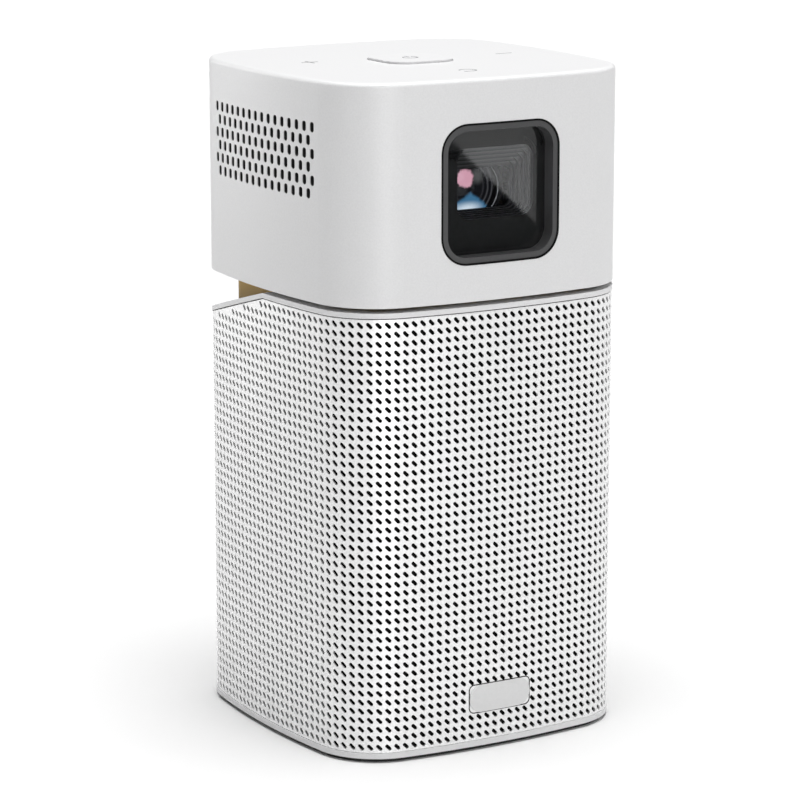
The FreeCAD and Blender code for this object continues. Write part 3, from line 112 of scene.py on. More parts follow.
def surface(name, colour, rough, spread=0.03, scale=900, metal=0.0, bump=0.0, specular=0.5,
            stretch=(1, 1, 1)):
    """A painted, moulded or machined surface with a fine grain in its colour and its polish."""
    material, nodes, links, shader = node_material(name)
    grain = noise_of(nodes, links, scale, stretch=stretch)
    spread_colour(nodes, links, grain.outputs["Fac"], colour, spread, shader.inputs["Base Color"])
    spread_value(nodes, links, grain.outputs["Fac"], rough * 0.92, min(1, rough * 1.08),
                 shader.inputs["Roughness"])
    shader.inputs["Metallic"].default_value = metal
    shader.inputs["Specular IOR Level"].default_value = specular
    if bump:
        relief = nodes.new("ShaderNodeBump")
        relief.inputs["Strength"].default_value = bump
        relief.inputs["Distance"].default_value = 0.05 * MM
        links.new(grain.outputs["Fac"], relief.inputs["Height"])
        links.new(relief.outputs["Normal"], shader.inputs["Normal"])
    return material


def clear_glass(name, tint, gloss_rough=0.02):
    """A thin coated pane: what lies behind it shows through, and its face mirrors the room."""
    material, nodes, links, shader = node_material(name)
    output = nodes["Material Output"]
    see_through = nodes.new("ShaderNodeBsdfTransparent")
    grain = noise_of(nodes, links, 60)
    spread_colour(nodes, links, grain.outputs["Fac"], tint, 0.01, see_through.inputs["Color"])
    gloss = nodes.new("ShaderNodeBsdfGlossy")
    gloss.inputs["Roughness"].default_value = gloss_rough
    fresnel = nodes.new("ShaderNodeFresnel")
    fresnel.inputs["IOR"].default_value = 1.5
    mix = nodes.new("ShaderNodeMixShader")
    links.new(fresnel.outputs["Fac"], mix.inputs["Fac"])
    links.new(see_through.outputs["BSDF"], mix.inputs[1])
    links.new(gloss.outputs["BSDF"], mix.inputs[2])
    links.new(mix.outputs["Shader"], output.inputs["Surface"])
    nodes.remove(shader)
    return material


def maths(nodes, operation, *values):
    """One step of shader arithmetic; a value is a number or another step's output."""
    step = nodes.new("ShaderNodeMath")
    step.operation = operation
    for index, value in enumerate(values):
        if isinstance(value, (int, float)):
            step.inputs[index].default_value = value
        else:
            nodes.id_data.links.new(value, step.inputs[index])
    return step.outputs[0]


def smooth_step(nodes, links, value, low, high):
    ranged = nodes.new("ShaderNodeMapRange")
    ranged.interpolation_type = "SMOOTHSTEP"
    ranged.inputs["From Min"].default_value = low
    ranged.inputs["From Max"].default_value = high
    links.new(value, ranged.inputs["Value"])
    return ranged.outputs["Result"]


def object_axes(nodes, links):
    place = nodes.new("ShaderNodeTexCoord")
    split = nodes.new("ShaderNodeSeparateXYZ")
    links.new(place.outputs["Object"], split.inputs["Vector"])
    return split.outputs


def blend_colours(nodes, links, factor, first, second):
    mix = nodes.new("ShaderNodeMix")
    mix.data_type = "RGBA"
    links.new(factor, mix.inputs["Factor"])
    for holder, value in ((mix.inputs["A"], first), (mix.inputs["B"], second)):
        if isinstance(value, tuple):
            holder.default_value = (*value, 1)
        else:
            links.new(value, holder)
    return mix.outputs["Result"]


def paint_shade_inside_vents(material):
    """Painted shade in the side vents: where the side walls are cut through, below the bowed surface, the
    slot walls are coloured near black.
    """
    nodes, links = material.node_tree.nodes, material.node_tree.links
    shader = nodes["Principled BSDF"]
    paint = shader.inputs["Base Color"].links[0].from_socket
    axes = object_axes(nodes, links)
    out = maths(nodes, "ADD", maths(nodes, "ABSOLUTE", axes["X"]), BOW - HALF)
    reach = maths(nodes, "SQRT", maths(nodes, "ADD", maths(nodes, "MULTIPLY", out, out),
                                       maths(nodes, "MULTIPLY", axes["Y"], axes["Y"])))
    sunk = smooth_step(nodes, links, maths(nodes, "SUBTRACT", BOW, reach), 0.10 * MM, 0.22 * MM)
    vent_low, vent_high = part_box("vent_meshes")
    for axis, low, high in (("Y", vent_low.y, vent_high.y), ("Z", vent_low.z, vent_high.z)):
        inside = maths(nodes, "MULTIPLY", maths(nodes, "GREATER_THAN", axes[axis], low - MM),
                       maths(nodes, "LESS_THAN", axes[axis], high + MM))
        sunk = maths(nodes, "MULTIPLY", sunk, inside)
    inner = maths(nodes, "GREATER_THAN", maths(nodes, "ABSOLUTE", axes["X"]), 0.7 * HALF)
    sunk = maths(nodes, "MULTIPLY", sunk, inner)
    # near-black painted shade on the cut slot walls
    links.new(blend_colours(nodes, links, sunk, paint, (0.02, 0.02, 0.02)), shader.inputs["Base Color"])


def baffle_black_with_painted_step_light(name):
    """Matt black for the stepped baffle, with painted light: each step's wall fades from a painted
    highlight at its front to dark, and each upper ledge fades from a painted highlight at its top to
    painted shade at its foot.
    """
    material = surface(name, (0.026, 0.026, 0.026), 0.5, 0.08, 900, specular=0.12)
    nodes, links = material.node_tree.nodes, material.node_tree.links
    shader = nodes["Principled BSDF"]
    dark = shader.inputs["Base Color"].links[0].from_socket
    axes = object_axes(nodes, links)

    def within_step(distance, step):
        return maths(nodes, "FRACT", maths(nodes, "DIVIDE", distance, step))

    facing = nodes.new("ShaderNodeNewGeometry")
    split = nodes.new("ShaderNodeSeparateXYZ")
    links.new(facing.outputs["True Normal"], split.inputs["Vector"])
    wall = smooth_step(nodes, links, maths(nodes, "ABSOLUTE", split.outputs["Y"]), 0.7, 0.5)
    depth = maths(nodes, "SUBTRACT", axes["Y"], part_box("lens_baffle")[0].y)
    wall_highlight_fade = within_step(depth, BAFFLE_STEP_DEPTH)
    # painted highlight on each step wall, light at its front and dark at its back
    wall_painted_highlight = blend_colours(nodes, links, wall_highlight_fade, (0.26, 0.26, 0.26), (0.03, 0.03, 0.03))
    drop = maths(nodes, "SUBTRACT", BAFFLE_TOP, axes["Z"])
    ledge_shade_fade = within_step(drop, BAFFLE_STEP_DROP)
    # painted highlight and shade on each upper ledge, light at its top and dark at its foot
    ledge_painted_shade = blend_colours(nodes, links, ledge_shade_fade, (0.13, 0.13, 0.13), (0.012, 0.012, 0.012))
    off_side = maths(nodes, "ABSOLUTE", maths(nodes, "SUBTRACT", axes["X"], BAFFLE_CENTRE))
    upper = smooth_step(nodes, links, off_side, 9.5 * MM, 8.0 * MM)
    below_top = maths(nodes, "GREATER_THAN", drop, 0.0)
    above_last = maths(nodes, "LESS_THAN", drop, BAFFLE_STEPS * BAFFLE_STEP_DROP)
    upper = maths(nodes, "MULTIPLY", maths(nodes, "MULTIPLY", upper, below_top), above_last)
    ledge = blend_colours(nodes, links, upper, dark, ledge_painted_shade)
    links.new(blend_colours(nodes, links, wall, ledge, wall_painted_highlight), shader.inputs["Base Color"])
    return material


LENS_MIDDLE = sum((Vector(corner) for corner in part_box("front_lens")), Vector()) / 2
LENS_RADIUS = (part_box("front_lens")[1].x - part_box("front_lens")[0].x) / 2


def lens_with_painted_glow(name):
    """The front element painted as glowing light: dark glass with turned rings, a grey patch, a rose patch
    and a pale blue glow low down, all emitted as painted reflections and painted glow.
    """
    material, nodes, links, shader = node_material(name)
    axes = object_axes(nodes, links)
    across = maths(nodes, "DIVIDE", maths(nodes, "SUBTRACT", axes["X"], LENS_MIDDLE.x), LENS_RADIUS)
    up = maths(nodes, "DIVIDE", maths(nodes, "SUBTRACT", axes["Z"], LENS_MIDDLE.z), LENS_RADIUS)

    def distance_from(x, z, stretch=1.0):
        over = maths(nodes, "MULTIPLY", maths(nodes, "SUBTRACT", across, x), stretch)
        above = maths(nodes, "SUBTRACT", up, z)
        return maths(nodes, "SQRT", maths(nodes, "ADD", maths(nodes, "MULTIPLY", over, over),
                                          maths(nodes, "MULTIPLY", above, above)))

    ripple = noise_of(nodes, links, 900, 3)
    reach = distance_from(0, 0)
    waves = maths(nodes, "ABSOLUTE", maths(nodes, "SINE", maths(nodes, "MULTIPLY", reach, 15)))
    # the rings are painted as faint emitted light
    rings = maths(nodes, "POWER", waves, 6)
    rings = maths(nodes, "MULTIPLY", rings, smooth_step(nodes, links, reach, 0.35, 0.8))
    glass = blend_colours(nodes, links, rings, (0.006, 0.006, 0.008), (0.07, 0.07, 0.075))
    # a grey painted reflection on the upper right
    grey_reflection = smooth_step(nodes, links, distance_from(0.30, 0.36), 0.34, 0.06)
    glass = blend_colours(nodes, links, grey_reflection, glass, (0.10, 0.10, 0.10))
    wobble = maths(nodes, "MULTIPLY", maths(nodes, "SUBTRACT", ripple.outputs["Fac"], 0.5), 0.22)
    # a rose painted reflection on the upper left
    from_rose = maths(nodes, "ADD", distance_from(-0.15, 0.31, 1.05), wobble)
    rose = smooth_step(nodes, links, from_rose, 0.34, 0.25)
    beside = maths(nodes, "ABSOLUTE", maths(nodes, "SUBTRACT", across, 0.02))
    below = maths(nodes, "MULTIPLY", maths(nodes, "ADD", up, 0.15), 1.5)
    from_fan = maths(nodes, "ADD", maths(nodes, "ADD", beside, below), wobble)
    # a pale blue painted glow fanning up from low down
    fan = smooth_step(nodes, links, from_fan, 0.12, -0.12)
    core = smooth_step(nodes, links, distance_from(-0.03, -0.70, 0.45), 0.34, 0.04)
    colour = blend_colours(nodes, links, rose, glass, (0.80, 0.42, 0.52))
    glow = blend_colours(nodes, links, core, (0.06, 0.19, 0.34), (0.78, 0.90, 1.0))
    colour = blend_colours(nodes, links, fan, colour, glow)
    # all of this colour is emitted, so the lens face glows with painted reflections and painted glow
    links.new(colour, shader.inputs["Emission Color"])
    shader.inputs["Emission Strength"].default_value = 0.95
    shader.inputs["Base Color"].default_value = (0.004, 0.004, 0.005, 1)
    spread_value(nodes, links, ripple.outputs["Fac"], 0.03, 0.05, shader.inputs["Roughness"])
    shader.inputs["Specular IOR Level"].default_value = 0.3
    return material


WHITE = (0.745, 0.745, 0.75)

FINISHES = {
    "shell_white": surface("shell_satin_paint", WHITE, 0.42, 0.025, 2600, bump=0.04),
    "trim_white": surface("trim_satin_paint", WHITE, 0.42, 0.025, 2600, bump=0.04),
    "button_white": surface("button_satin_paint", (0.765, 0.765, 0.77), 0.40, 0.02, 2600),
    "grille_white": surface(
        "grille_powder_coat", (0.86, 0.86, 0.86), 0.34, 0.07, 2200, metal=0.45, bump=0.10
    ),
    "badge_white": surface("badge_moulding", (0.72, 0.72, 0.72), 0.35, 0.02, 900),
    "bezel_grey": surface("bezel_satin_grey", (0.050, 0.050, 0.052), 0.32, 0.05, 1500),
    "window_glass": clear_glass("window_coated_glass", (0.93, 0.94, 0.95)),
    # the stepped baffle's bands are painted highlight and shade
    "baffle_black": baffle_black_with_painted_step_light("baffle_black_painted_step_light"),
    "barrel_black": surface("barrel_anodised_black", (0.02, 0.02, 0.022), 0.3, 0.05, 900, metal=0.6),
    "lens_glass": clear_glass("lens_coated_glass", (0.80, 0.86, 0.95), 0.01),
    "neck_gold": surface("neck_mustard_gold", (0.42, 0.245, 0.018), 0.55, 0.03, 1600, specular=0.2),
    "cloth_black": surface(
        "cloth_black_weave", (0.010, 0.010, 0.010), 0.95, 0.35, 3200, bump=0.3, specular=0.1
    ),
    "foot_rubber": surface("foot_dark_rubber", (0.03, 0.03, 0.03), 0.8, 0.1, 900, bump=0.2, specular=0.3),
    "hinge_steel": surface(
        "hinge_brushed_steel", (0.5, 0.5, 0.51), 0.34, 0.06, 400, metal=1, stretch=(1, 1, 12)
    ),
    "mesh_steel": surface(
        "mesh_black_steel", (0.012, 0.012, 0.012), 0.7, 0.2, 2600, bump=0.3, specular=0.2
    ),
    "deck_aluminium": surface(
        "deck_blasted_aluminium", (0.62, 0.62, 0.64), 0.5, 0.05, 1500, metal=1, bump=0.1
    ),
    "insert_brass": surface(
        "insert_turned_brass", (0.72, 0.52, 0.22), 0.28, 0.04, 500, metal=1, stretch=(1, 1, 8)
    ),
    "board_green": surface("board_solder_mask", (0.02, 0.14, 0.07), 0.35, 0.15, 250),
    "chip_mirror": surface("chip_mirror_face", (0.6, 0.65, 0.7), 0.08, 0.03, 600, metal=1),
    "led_red": surface("led_red_dome", (0.6, 0.04, 0.03), 0.2, 0.05, 600),
    "led_green": surface("led_green_dome", (0.04, 0.5, 0.08), 0.2, 0.05, 600),
    "led_blue": surface("led_blue_dome", (0.04, 0.08, 0.6), 0.2, 0.05, 600),
    "inner_black": surface("inner_moulded_black", (0.02, 0.02, 0.02), 0.6, 0.1, 900, bump=0.1),
    "panel_black": surface("panel_etched_black", (0.022, 0.022, 0.023), 0.6, 0.15, 2000, bump=0.3),
    "gear_white": surface("gear_moulded_white", (0.7, 0.69, 0.65), 0.45, 0.04, 500),
    "washer_polymer": surface("washer_dark_polymer", (0.2, 0.19, 0.17), 0.5, 0.06, 500),
    "surround_rubber": surface("surround_satin_rubber", (0.015, 0.015, 0.015), 0.45, 0.08, 900),
    "magnet_ferrite": surface("magnet_ferrite", (0.06, 0.06, 0.065), 0.6, 0.15, 1200, bump=0.2),
    "cell_wrap": surface("cell_blue_wrap", (0.04, 0.15, 0.36), 0.25, 0.05, 300),
    "socket_steel": surface("socket_plated_steel", (0.6, 0.6, 0.61), 0.25, 0.05, 900, metal=1),
    "cone_paper": surface("cone_pressed_pulp", (0.04, 0.04, 0.04), 0.8, 0.25, 1500, bump=0.4),
    "cable_black": surface("cable_black_jacket", (0.015, 0.015, 0.015), 0.5, 0.08, 900),
}
# the lens face's painted reflections and glow
LENS_PAINTED_GLOW = lens_with_painted_glow("lens_front_element_painted_glow")
# paints shade inside the vent slots of the white shell
paint_shade_inside_vents(FINISHES["shell_white"])
# near-black painted shade for the gaps round let-in pieces
GAP_SHADE_BLACK = surface("gap_shade_black", (0.006, 0.006, 0.006), 0.8, 0.1, 900, specular=0.05)
RIM_GREY = surface("lens_rim_turned", (0.32, 0.32, 0.33), 0.25, 0.05, 900, metal=0.8)
MARK_GREY = surface("mark_printed_grey", (0.30, 0.30, 0.31), 0.5, 0.04, 900)


def finish_cad_nodes():
    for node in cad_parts.values():
        for holder in node.material_slots:
            holder.material = FINISHES[holder.material.name.split(".")[0]]


# ---- building helpers ----


def piece(name, bm, body, slot, material=None, sharp=35):
    """Turns a bmesh into a named piece that rides on a body, smooth except at its sharp edges."""
    mesh = bpy.data.meshes.new(name)
    bm.to_mesh(mesh)
    bm.free()
    mesh.materials.append(material or FINISHES[slot])
    for polygon in mesh.polygons:
        polygon.use_smooth = True
    mesh.set_sharp_from_angle(angle=math.radians(sharp))
    made = bpy.data.objects.new(name, mesh)
    bpy.context.scene.collection.objects.link(made)
    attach(made, body)
    return made


class Outline:
    """The plan of the body: four shallow arcs joined by four round corners, measured along its edge."""

    def __init__(self, inset):
        self.inset = inset
        self.reach = BOW - HALF
        self.centre = (math.sqrt(2 * (BOW - CORNER) ** 2 - self.reach**2) - self.reach) / 2
        self.spread = math.atan2(self.centre, self.centre + self.reach)
        self.flat = self.spread * (BOW - inset)
        self.quarter = 2 * self.flat + (math.pi / 2 - 2 * self.spread) * (CORNER - inset)
        self.length = 4 * self.quarter

    def at(self, along, depth=0.0):
        """The point a distance along the edge from the front's middle, and a depth inside it."""
        side = math.floor(along / self.quarter + 0.5)
        local = along - side * self.quarter
        sign = 1 if local >= 0 else -1
        if abs(local) <= self.flat:
            angle = local / (BOW - self.inset)
            radius, centre = BOW - self.inset - depth, (-self.reach, 0)
        else:
            angle = sign * (self.spread + (abs(local) - self.flat) / (CORNER - self.inset))
            radius, centre = CORNER - self.inset - depth, (self.centre, sign * self.centre)
        out = centre[0] + radius * math.cos(angle)
        across = centre[1] + radius * math.sin(angle)
        turn = side * math.pi / 2
        return Vector((
            across * math.cos(turn) + out * math.sin(turn),
            across * math.sin(turn) - out * math.cos(turn),
        ))


FACE = Outline(GRILLE_FACE)


def wrap(bm, outline, place=lambda height: height):
    """Bends flat work round the outline: X runs along the edge, Y is height and Z is proud of the face."""
    for vertex in bm.verts:
        spot = outline.at(vertex.co.x, -vertex.co.z)
        vertex.co = (spot.x, spot.y, place(vertex.co.y))


def thicken(bm, shift):
    """Closes a bent sheet into a wall by copying it straight back or forward along Y."""
    grown = bmesh.ops.extrude_face_region(bm, geom=bm.faces[:])["geom"]
    moved = [item for item in grown if isinstance(item, bmesh.types.BMVert)]
    bmesh.ops.translate(bm, verts=moved, vec=(0, shift, 0))
    bmesh.ops.recalc_face_normals(bm, faces=bm.faces[:])


def rounded_plate(width, height, radius, segments=8):
    """A flat rounded rectangle round the origin, as one face."""
    bm = bmesh.new()
    bmesh.ops.create_grid(bm, x_segments=1, y_segments=1, size=0.5)
    bmesh.ops.scale(bm, vec=(width, height, 1), verts=bm.verts[:])
    bmesh.ops.bevel(
        bm, geom=bm.verts[:], offset=radius, offset_type="OFFSET", segments=segments,
        profile=0.5, affect="VERTICES", material=-1,
    )
    return bm


# ---- speaker grille ----

COLUMNS = 134
COLUMN_PITCH = FACE.length / COLUMNS
ROW_PITCH = 2.1215 * MM
FIRST_ROW = 101.25 * MM
ROWS = 47
SLOT_WIDTH = 0.86 * MM
SLOT_LENGTH = 1.74 * MM
GRILLE_WALL = 0.35 * MM
RIM_LIMITS = (Vector((0, 0, 1)), Vector((0, math.sin(TILT), math.cos(TILT))))
RIDGE = Vector((0, RIDGE_Y, GRILLE_TOP))


def grille_tile(slotted):
    """One cell of the grille's pattern, with or without its slanting slot."""
    bm = bmesh.new()
    bmesh.ops.create_grid(bm, x_segments=1, y_segments=1, size=0.5)
    bmesh.ops.scale(bm, vec=(COLUMN_PITCH, ROW_PITCH, 1), verts=bm.verts[:])
    if slotted:
        bmesh.ops.delete(bm, geom=bm.faces[:], context="FACES_ONLY")
    bmesh.ops.subdivide_edges(bm, edges=bm.edges[:], cuts=2)
    if slotted:
        rim = bmesh.ops.create_circle(bm, segments=12, radius=SLOT_WIDTH / 2)["verts"]
        slant = Vector((1, -1, 0)).normalized()
        half_straight = (SLOT_LENGTH - SLOT_WIDTH) / 2
        for vertex in rim:
            vertex.co += slant * math.copysign(half_straight, vertex.co.dot(slant))
        bmesh.ops.bridge_loops(bm, edges=bm.edges[:])
    mesh = bpy.data.meshes.new("grille_tile")
    bm.to_mesh(mesh)
    bm.free()
    return mesh


def add_block(bm, tile, first_column, columns, first_row, rows):
    """Repeats one tile over a block of columns and rows, with the joints merged."""
    if columns < 1 or rows < 1:
        return
    seed = bpy.data.objects.new("grille_seed", tile)
    bpy.context.scene.collection.objects.link(seed)
    for count, offset in ((columns, (COLUMN_PITCH, 0, 0)), (rows, (0, -ROW_PITCH, 0))):
        repeat = seed.modifiers.new("repeat", "ARRAY")
        repeat.count = count
        repeat.use_relative_offset = False
        repeat.use_constant_offset = True
        repeat.constant_offset_displace = offset
        repeat.use_merge_vertices = True
        repeat.merge_threshold = 0.01 * MM
    depsgraph = bpy.context.evaluated_depsgraph_get()
    block = bpy.data.meshes.new_from_object(seed.evaluated_get(depsgraph))
    block.transform(Matrix.Translation((
        (first_column + 0.5) * COLUMN_PITCH, FIRST_ROW - first_row * ROW_PITCH, 0
    )))
    bm.from_mesh(block)
    bpy.data.meshes.remove(block)
    bpy.data.objects.remove(seed)


BADGE_COLUMNS = 4
BADGE_ROWS = (41, 43)
SOCKET_COLUMNS = 11
SOCKET_ROWS = (38, 43)
PANELS = {"front_right": (0, 34), "back_right": (34, 67), "back_left": (67, 101), "front_left": (101, 134)}


def grille_height(flat_height):
    """The outermost rows reach up to the rim and down to the bottom band."""
    top_edge = FIRST_ROW + ROW_PITCH / 2
    bottom_edge = FIRST_ROW - (ROWS - 0.5) * ROW_PITCH
    if flat_height > top_edge - 0.01 * MM:
        return GRILLE_TOP + 0.2 * MM
    if flat_height < bottom_edge + 0.01 * MM:
        return GRILLE_BOTTOM
    return flat_height


def close_slots_at_rim(bm):
    """Slots that the falling rim would cut through are left out."""
    margin = 1.62 * MM

    def past_rim(vertex):
        return max((vertex.co - RIDGE).dot(normal) for normal in RIM_LIMITS) > -margin

    near = [edge for edge in bm.edges if edge.is_boundary and all(map(past_rim, edge.verts))]
    bmesh.ops.holes_fill(bm, edges=near, sides=12)


def make_grille():
    """The slotted wall in four panels, left plain behind the badge and open round the sockets."""
    slotted, plain = grille_tile(True), grille_tile(False)
    socket_middle = COLUMNS // 2
    for name, (first, last) in PANELS.items():
        bm = bmesh.new()
        at_badge = first < BADGE_COLUMNS or last > COLUMNS - BADGE_COLUMNS
        rows, count = (BADGE_ROWS, BADGE_COLUMNS) if at_badge else (SOCKET_ROWS, SOCKET_COLUMNS)
        skip_first = first in (0, socket_middle)
        special = first if skip_first else last - count
        others = first + count if skip_first else first
        add_block(bm, slotted, first, last - first, 0, rows[0])
        add_block(bm, slotted, others, last - first - count, rows[0], rows[1] - rows[0] + 1)
        if at_badge:
            add_block(bm, plain, special, count, rows[0], rows[1] - rows[0] + 1)
        add_block(bm, slotted, first, last - first, rows[1] + 1, ROWS - rows[1] - 1)
        bmesh.ops.remove_doubles(bm, verts=bm.verts[:], dist=0.01 * MM)
        wrap(bm, FACE, grille_height)
        close_slots_at_rim(bm)
        for normal in RIM_LIMITS:
            bmesh.ops.bisect_plane(
                bm, geom=bm.verts[:] + bm.edges[:] + bm.faces[:], dist=0.001 * MM,
                plane_co=RIDGE, plane_no=normal, clear_outer=True,
            )
        bmesh.ops.recalc_face_normals(bm, faces=bm.faces[:])
        outward = bm.faces[:][0].normal.dot(bm.faces[:][0].calc_center_median().xy.to_3d())
        bmesh.ops.solidify(bm, geom=bm.faces[:], thickness=math.copysign(GRILLE_WALL, outward))
        made = piece("grille_" + name, bm, "base", "grille_white")
        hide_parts("speaker_grille")


# ---- marks on the top ----

MARK_LINE = 0.42 * MM
MARK_THICKNESS = 0.08 * MM
CROSS_PLACE = (-22.8 * MM, 6.9 * MM)
CROSS_SPAN = 4.3 * MM
DASH_PLACE = (25.5 * MM, -0.2 * MM)
DASH_LENGTH = 4.4 * MM
RETURN_PLACE = (0, -25.2 * MM)
RETURN_RADIUS = 1.9 * MM
POWER_RADIUS = 1.7 * MM


def bar(bm, x, y, length, width, top):
    bmesh.ops.create_cube(
        bm, size=1,
        matrix=Matrix.Translation((x, y, top))
        @ Matrix.Diagonal((length, width, MARK_THICKNESS, 1)),
    )


def arc(bm, x, y, radius, width, top, start, sweep):
    low, high = top - MARK_THICKNESS / 2, top + MARK_THICKNESS / 2
    inner, outer = radius - width / 2, radius + width / 2
    corners = [(inner, low), (outer, low), (outer, high), (inner, high)]
    middle, turn = Vector((x, y, 0)), Matrix.Rotation(start, 3, "Z")
    ring = [bm.verts.new(middle + turn @ Vector((reach, 0, height))) for reach, height in corners]
    face = bm.faces.new(ring)
    swept = bmesh.ops.spin(
        bm, geom=[face], cent=(x, y, 0), axis=(0, 0, 1), angle=sweep, steps=36, use_merge=False,
    )
    last_edges = [item for item in swept["geom_last"] if isinstance(item, bmesh.types.BMEdge)]
    bmesh.ops.contextual_create(bm, geom=last_edges)


def make_marks():
    """The flat grey signs on the top: a cross, a dash, a return arrow and the button's power sign."""
    top, line = HEAD_TOP, MARK_LINE
    bm = bmesh.new()
    bar(bm, *CROSS_PLACE, CROSS_SPAN, line, top)
    bar(bm, *CROSS_PLACE, line, CROSS_SPAN, top)
    bar(bm, *DASH_PLACE, DASH_LENGTH, line, top)
    arc(bm, *RETURN_PLACE, RETURN_RADIUS, line, top, math.radians(-90), math.radians(250))
    x, y = RETURN_PLACE
    bar(bm, x - 1.0 * MM, y - RETURN_RADIUS, 2.0 * MM, line, top)
    bmesh.ops.recalc_face_normals(bm, faces=bm.faces[:])
    piece("touch_marks", bm, "head", "shell_white", MARK_GREY)
    bm = bmesh.new()
    button_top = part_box("power_button")[1].z
    arc(bm, 0, 0, POWER_RADIUS, line, button_top, math.radians(125), math.radians(290))
    bar(bm, 0, 1.5 * MM, line, 1.8 * MM, button_top)
    bmesh.ops.recalc_face_normals(bm, faces=bm.faces[:])
    piece("power_mark", bm, "power_button", "button_white", MARK_GREY)


# ---- socket frame ----

FRAME_CLEARANCE = 0.2 * MM
FRAME_ROUND = 0.3 * MM
FRAME_DEPTH = 1.4 * MM


def make_socket_frame():
    """A moulded rim round the sockets that fills the space left between the grille and the panel."""
    width = 2 * SOCKET_COLUMNS * COLUMN_PITCH
    height = (SOCKET_ROWS[1] - SOCKET_ROWS[0] + 1) * ROW_PITCH
    middle = FIRST_ROW - (SOCKET_ROWS[0] + SOCKET_ROWS[1]) / 2 * ROW_PITCH
    panel_low, panel_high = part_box("io_panel")
    inner_width = panel_high.x - panel_low.x + FRAME_CLEARANCE
    inner_height = panel_high.z - panel_low.z + FRAME_CLEARANCE
    bm = rounded_plate(width, height, FRAME_ROUND, 3)
    inside = bm.faces[:]
    bmesh.ops.inset_individual(bm, faces=inside, thickness=FRAME_ROUND / 2)
    offset = middle - (panel_low.z + panel_high.z) / 2
    for vertex in inside[0].verts:
        vertex.co.x *= inner_width / (width - FRAME_ROUND)
        vertex.co.y = vertex.co.y * inner_height / (height - FRAME_ROUND) - offset
    bmesh.ops.delete(bm, geom=inside, context="FACES_ONLY")
    long_edges = [edge for edge in bm.edges if abs(edge.verts[0].co.x - edge.verts[1].co.x) > width / 2]
    bmesh.ops.subdivide_edges(bm, edges=long_edges, cuts=30)
    bmesh.ops.translate(bm, verts=bm.verts[:], vec=(FACE.length / 2, middle, 0.0))
    wrap(bm, FACE)
    thicken(bm, -FRAME_DEPTH)
    piece("socket_frame", bm, "base", "panel_black")


# ---- window surround and lens ----

JOINT_DEPTH = 0.3 * MM
JOINT_PROUD = 0.06 * MM


def make_gap_shade_line(name, node, radius, line, outline, body):
    """A black strip round a piece let into the face, laid just proud of the bowed surface: painted shade
    standing for the gap round the piece.
    """
    low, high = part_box(node)
    bm = rounded_plate(high.x - low.x + 2 * line, high.z - low.z + 2 * line, radius + line, 12)
    long_edges = [edge for edge in bm.edges if edge.calc_length() > 2.5 * MM]
    bmesh.ops.subdivide_edges(bm, edges=long_edges, cuts=14)
    inside = bm.faces[:]
    bmesh.ops.inset_individual(bm, faces=inside, thickness=line + 0.02 * MM)
    bmesh.ops.delete(bm, geom=inside, context="FACES_ONLY")
    middle = (low + high) / 2
    bmesh.ops.translate(bm, verts=bm.verts[:], vec=(middle.x, middle.z, JOINT_PROUD))
    wrap(bm, outline)
    thicken(bm, JOINT_DEPTH)
    piece(name, bm, body, "inner_black", GAP_SHADE_BLACK)


def make_lens_rim():
    """The bright turned edge of the barrel's mouth."""
    low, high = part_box("lens_barrel")
    bm = bmesh.new()
    ring = bmesh.ops.create_circle(
        bm, segments=10, radius=0.11 * MM, matrix=Matrix.Translation((LIP_RADIUS, 0, 0)),
    )["verts"]
    edges = list({edge for vertex in ring for edge in vertex.link_edges})
    bmesh.ops.spin(
        bm, geom=ring + edges, cent=(0, 0, 0), axis=(0, 1, 0), angle=math.tau, steps=72, use_merge=True,
    )
    bmesh.ops.remove_doubles(bm, verts=bm.verts[:], dist=0.001 * MM)
    middle = (low + high) / 2
    bmesh.ops.translate(bm, verts=bm.verts[:], vec=(middle.x, low.y + 0.05 * MM, middle.z))
    bmesh.ops.recalc_face_normals(bm, faces=bm.faces[:])
    piece("lens_rim", bm, "lens", "barrel_black", RIM_GREY)


def make_front_lens():
    """A domed front element: a disc spun up from its profile, flat at the back."""
    low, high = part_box("front_lens")
    radius, rise = LENS_RADIUS, 1.6 * MM
    sphere = (radius**2 + rise**2) / (2 * rise)
    steps = 12
    start = low.y + 0.3 * MM
    profile = [Vector((0, high.y, 0)), Vector((radius, high.y, 0))]
    half_angle = math.asin(radius / sphere)
    for step in range(steps + 1):
        angle = half_angle * (1 - step / steps)
        depth = start + rise - (sphere * math.cos(angle) - (sphere - rise))
        profile.append(Vector((sphere * math.sin(angle), depth, 0)))
    bm = bmesh.new()
    points = [bm.verts.new(point) for point in profile]
    edges = [bm.edges.new(pair) for pair in zip(points, points[1:])]
    bmesh.ops.spin(
        bm, geom=points + edges, cent=(0, 0, 0), axis=(0, 1, 0), angle=math.tau, steps=64, use_merge=True,
    )
    bmesh.ops.remove_doubles(bm, verts=bm.verts[:], dist=0.001 * MM)
    bmesh.ops.translate(bm, verts=bm.verts[:], vec=(LENS_MIDDLE.x, 0, LENS_MIDDLE.z))
    bmesh.ops.recalc_face_normals(bm, faces=bm.faces[:])
    made = piece("front_element", bm, "lens", "lens_glass", LENS_PAINTED_GLOW)
    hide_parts("front_lens")


# ---- room, lights and camera ----


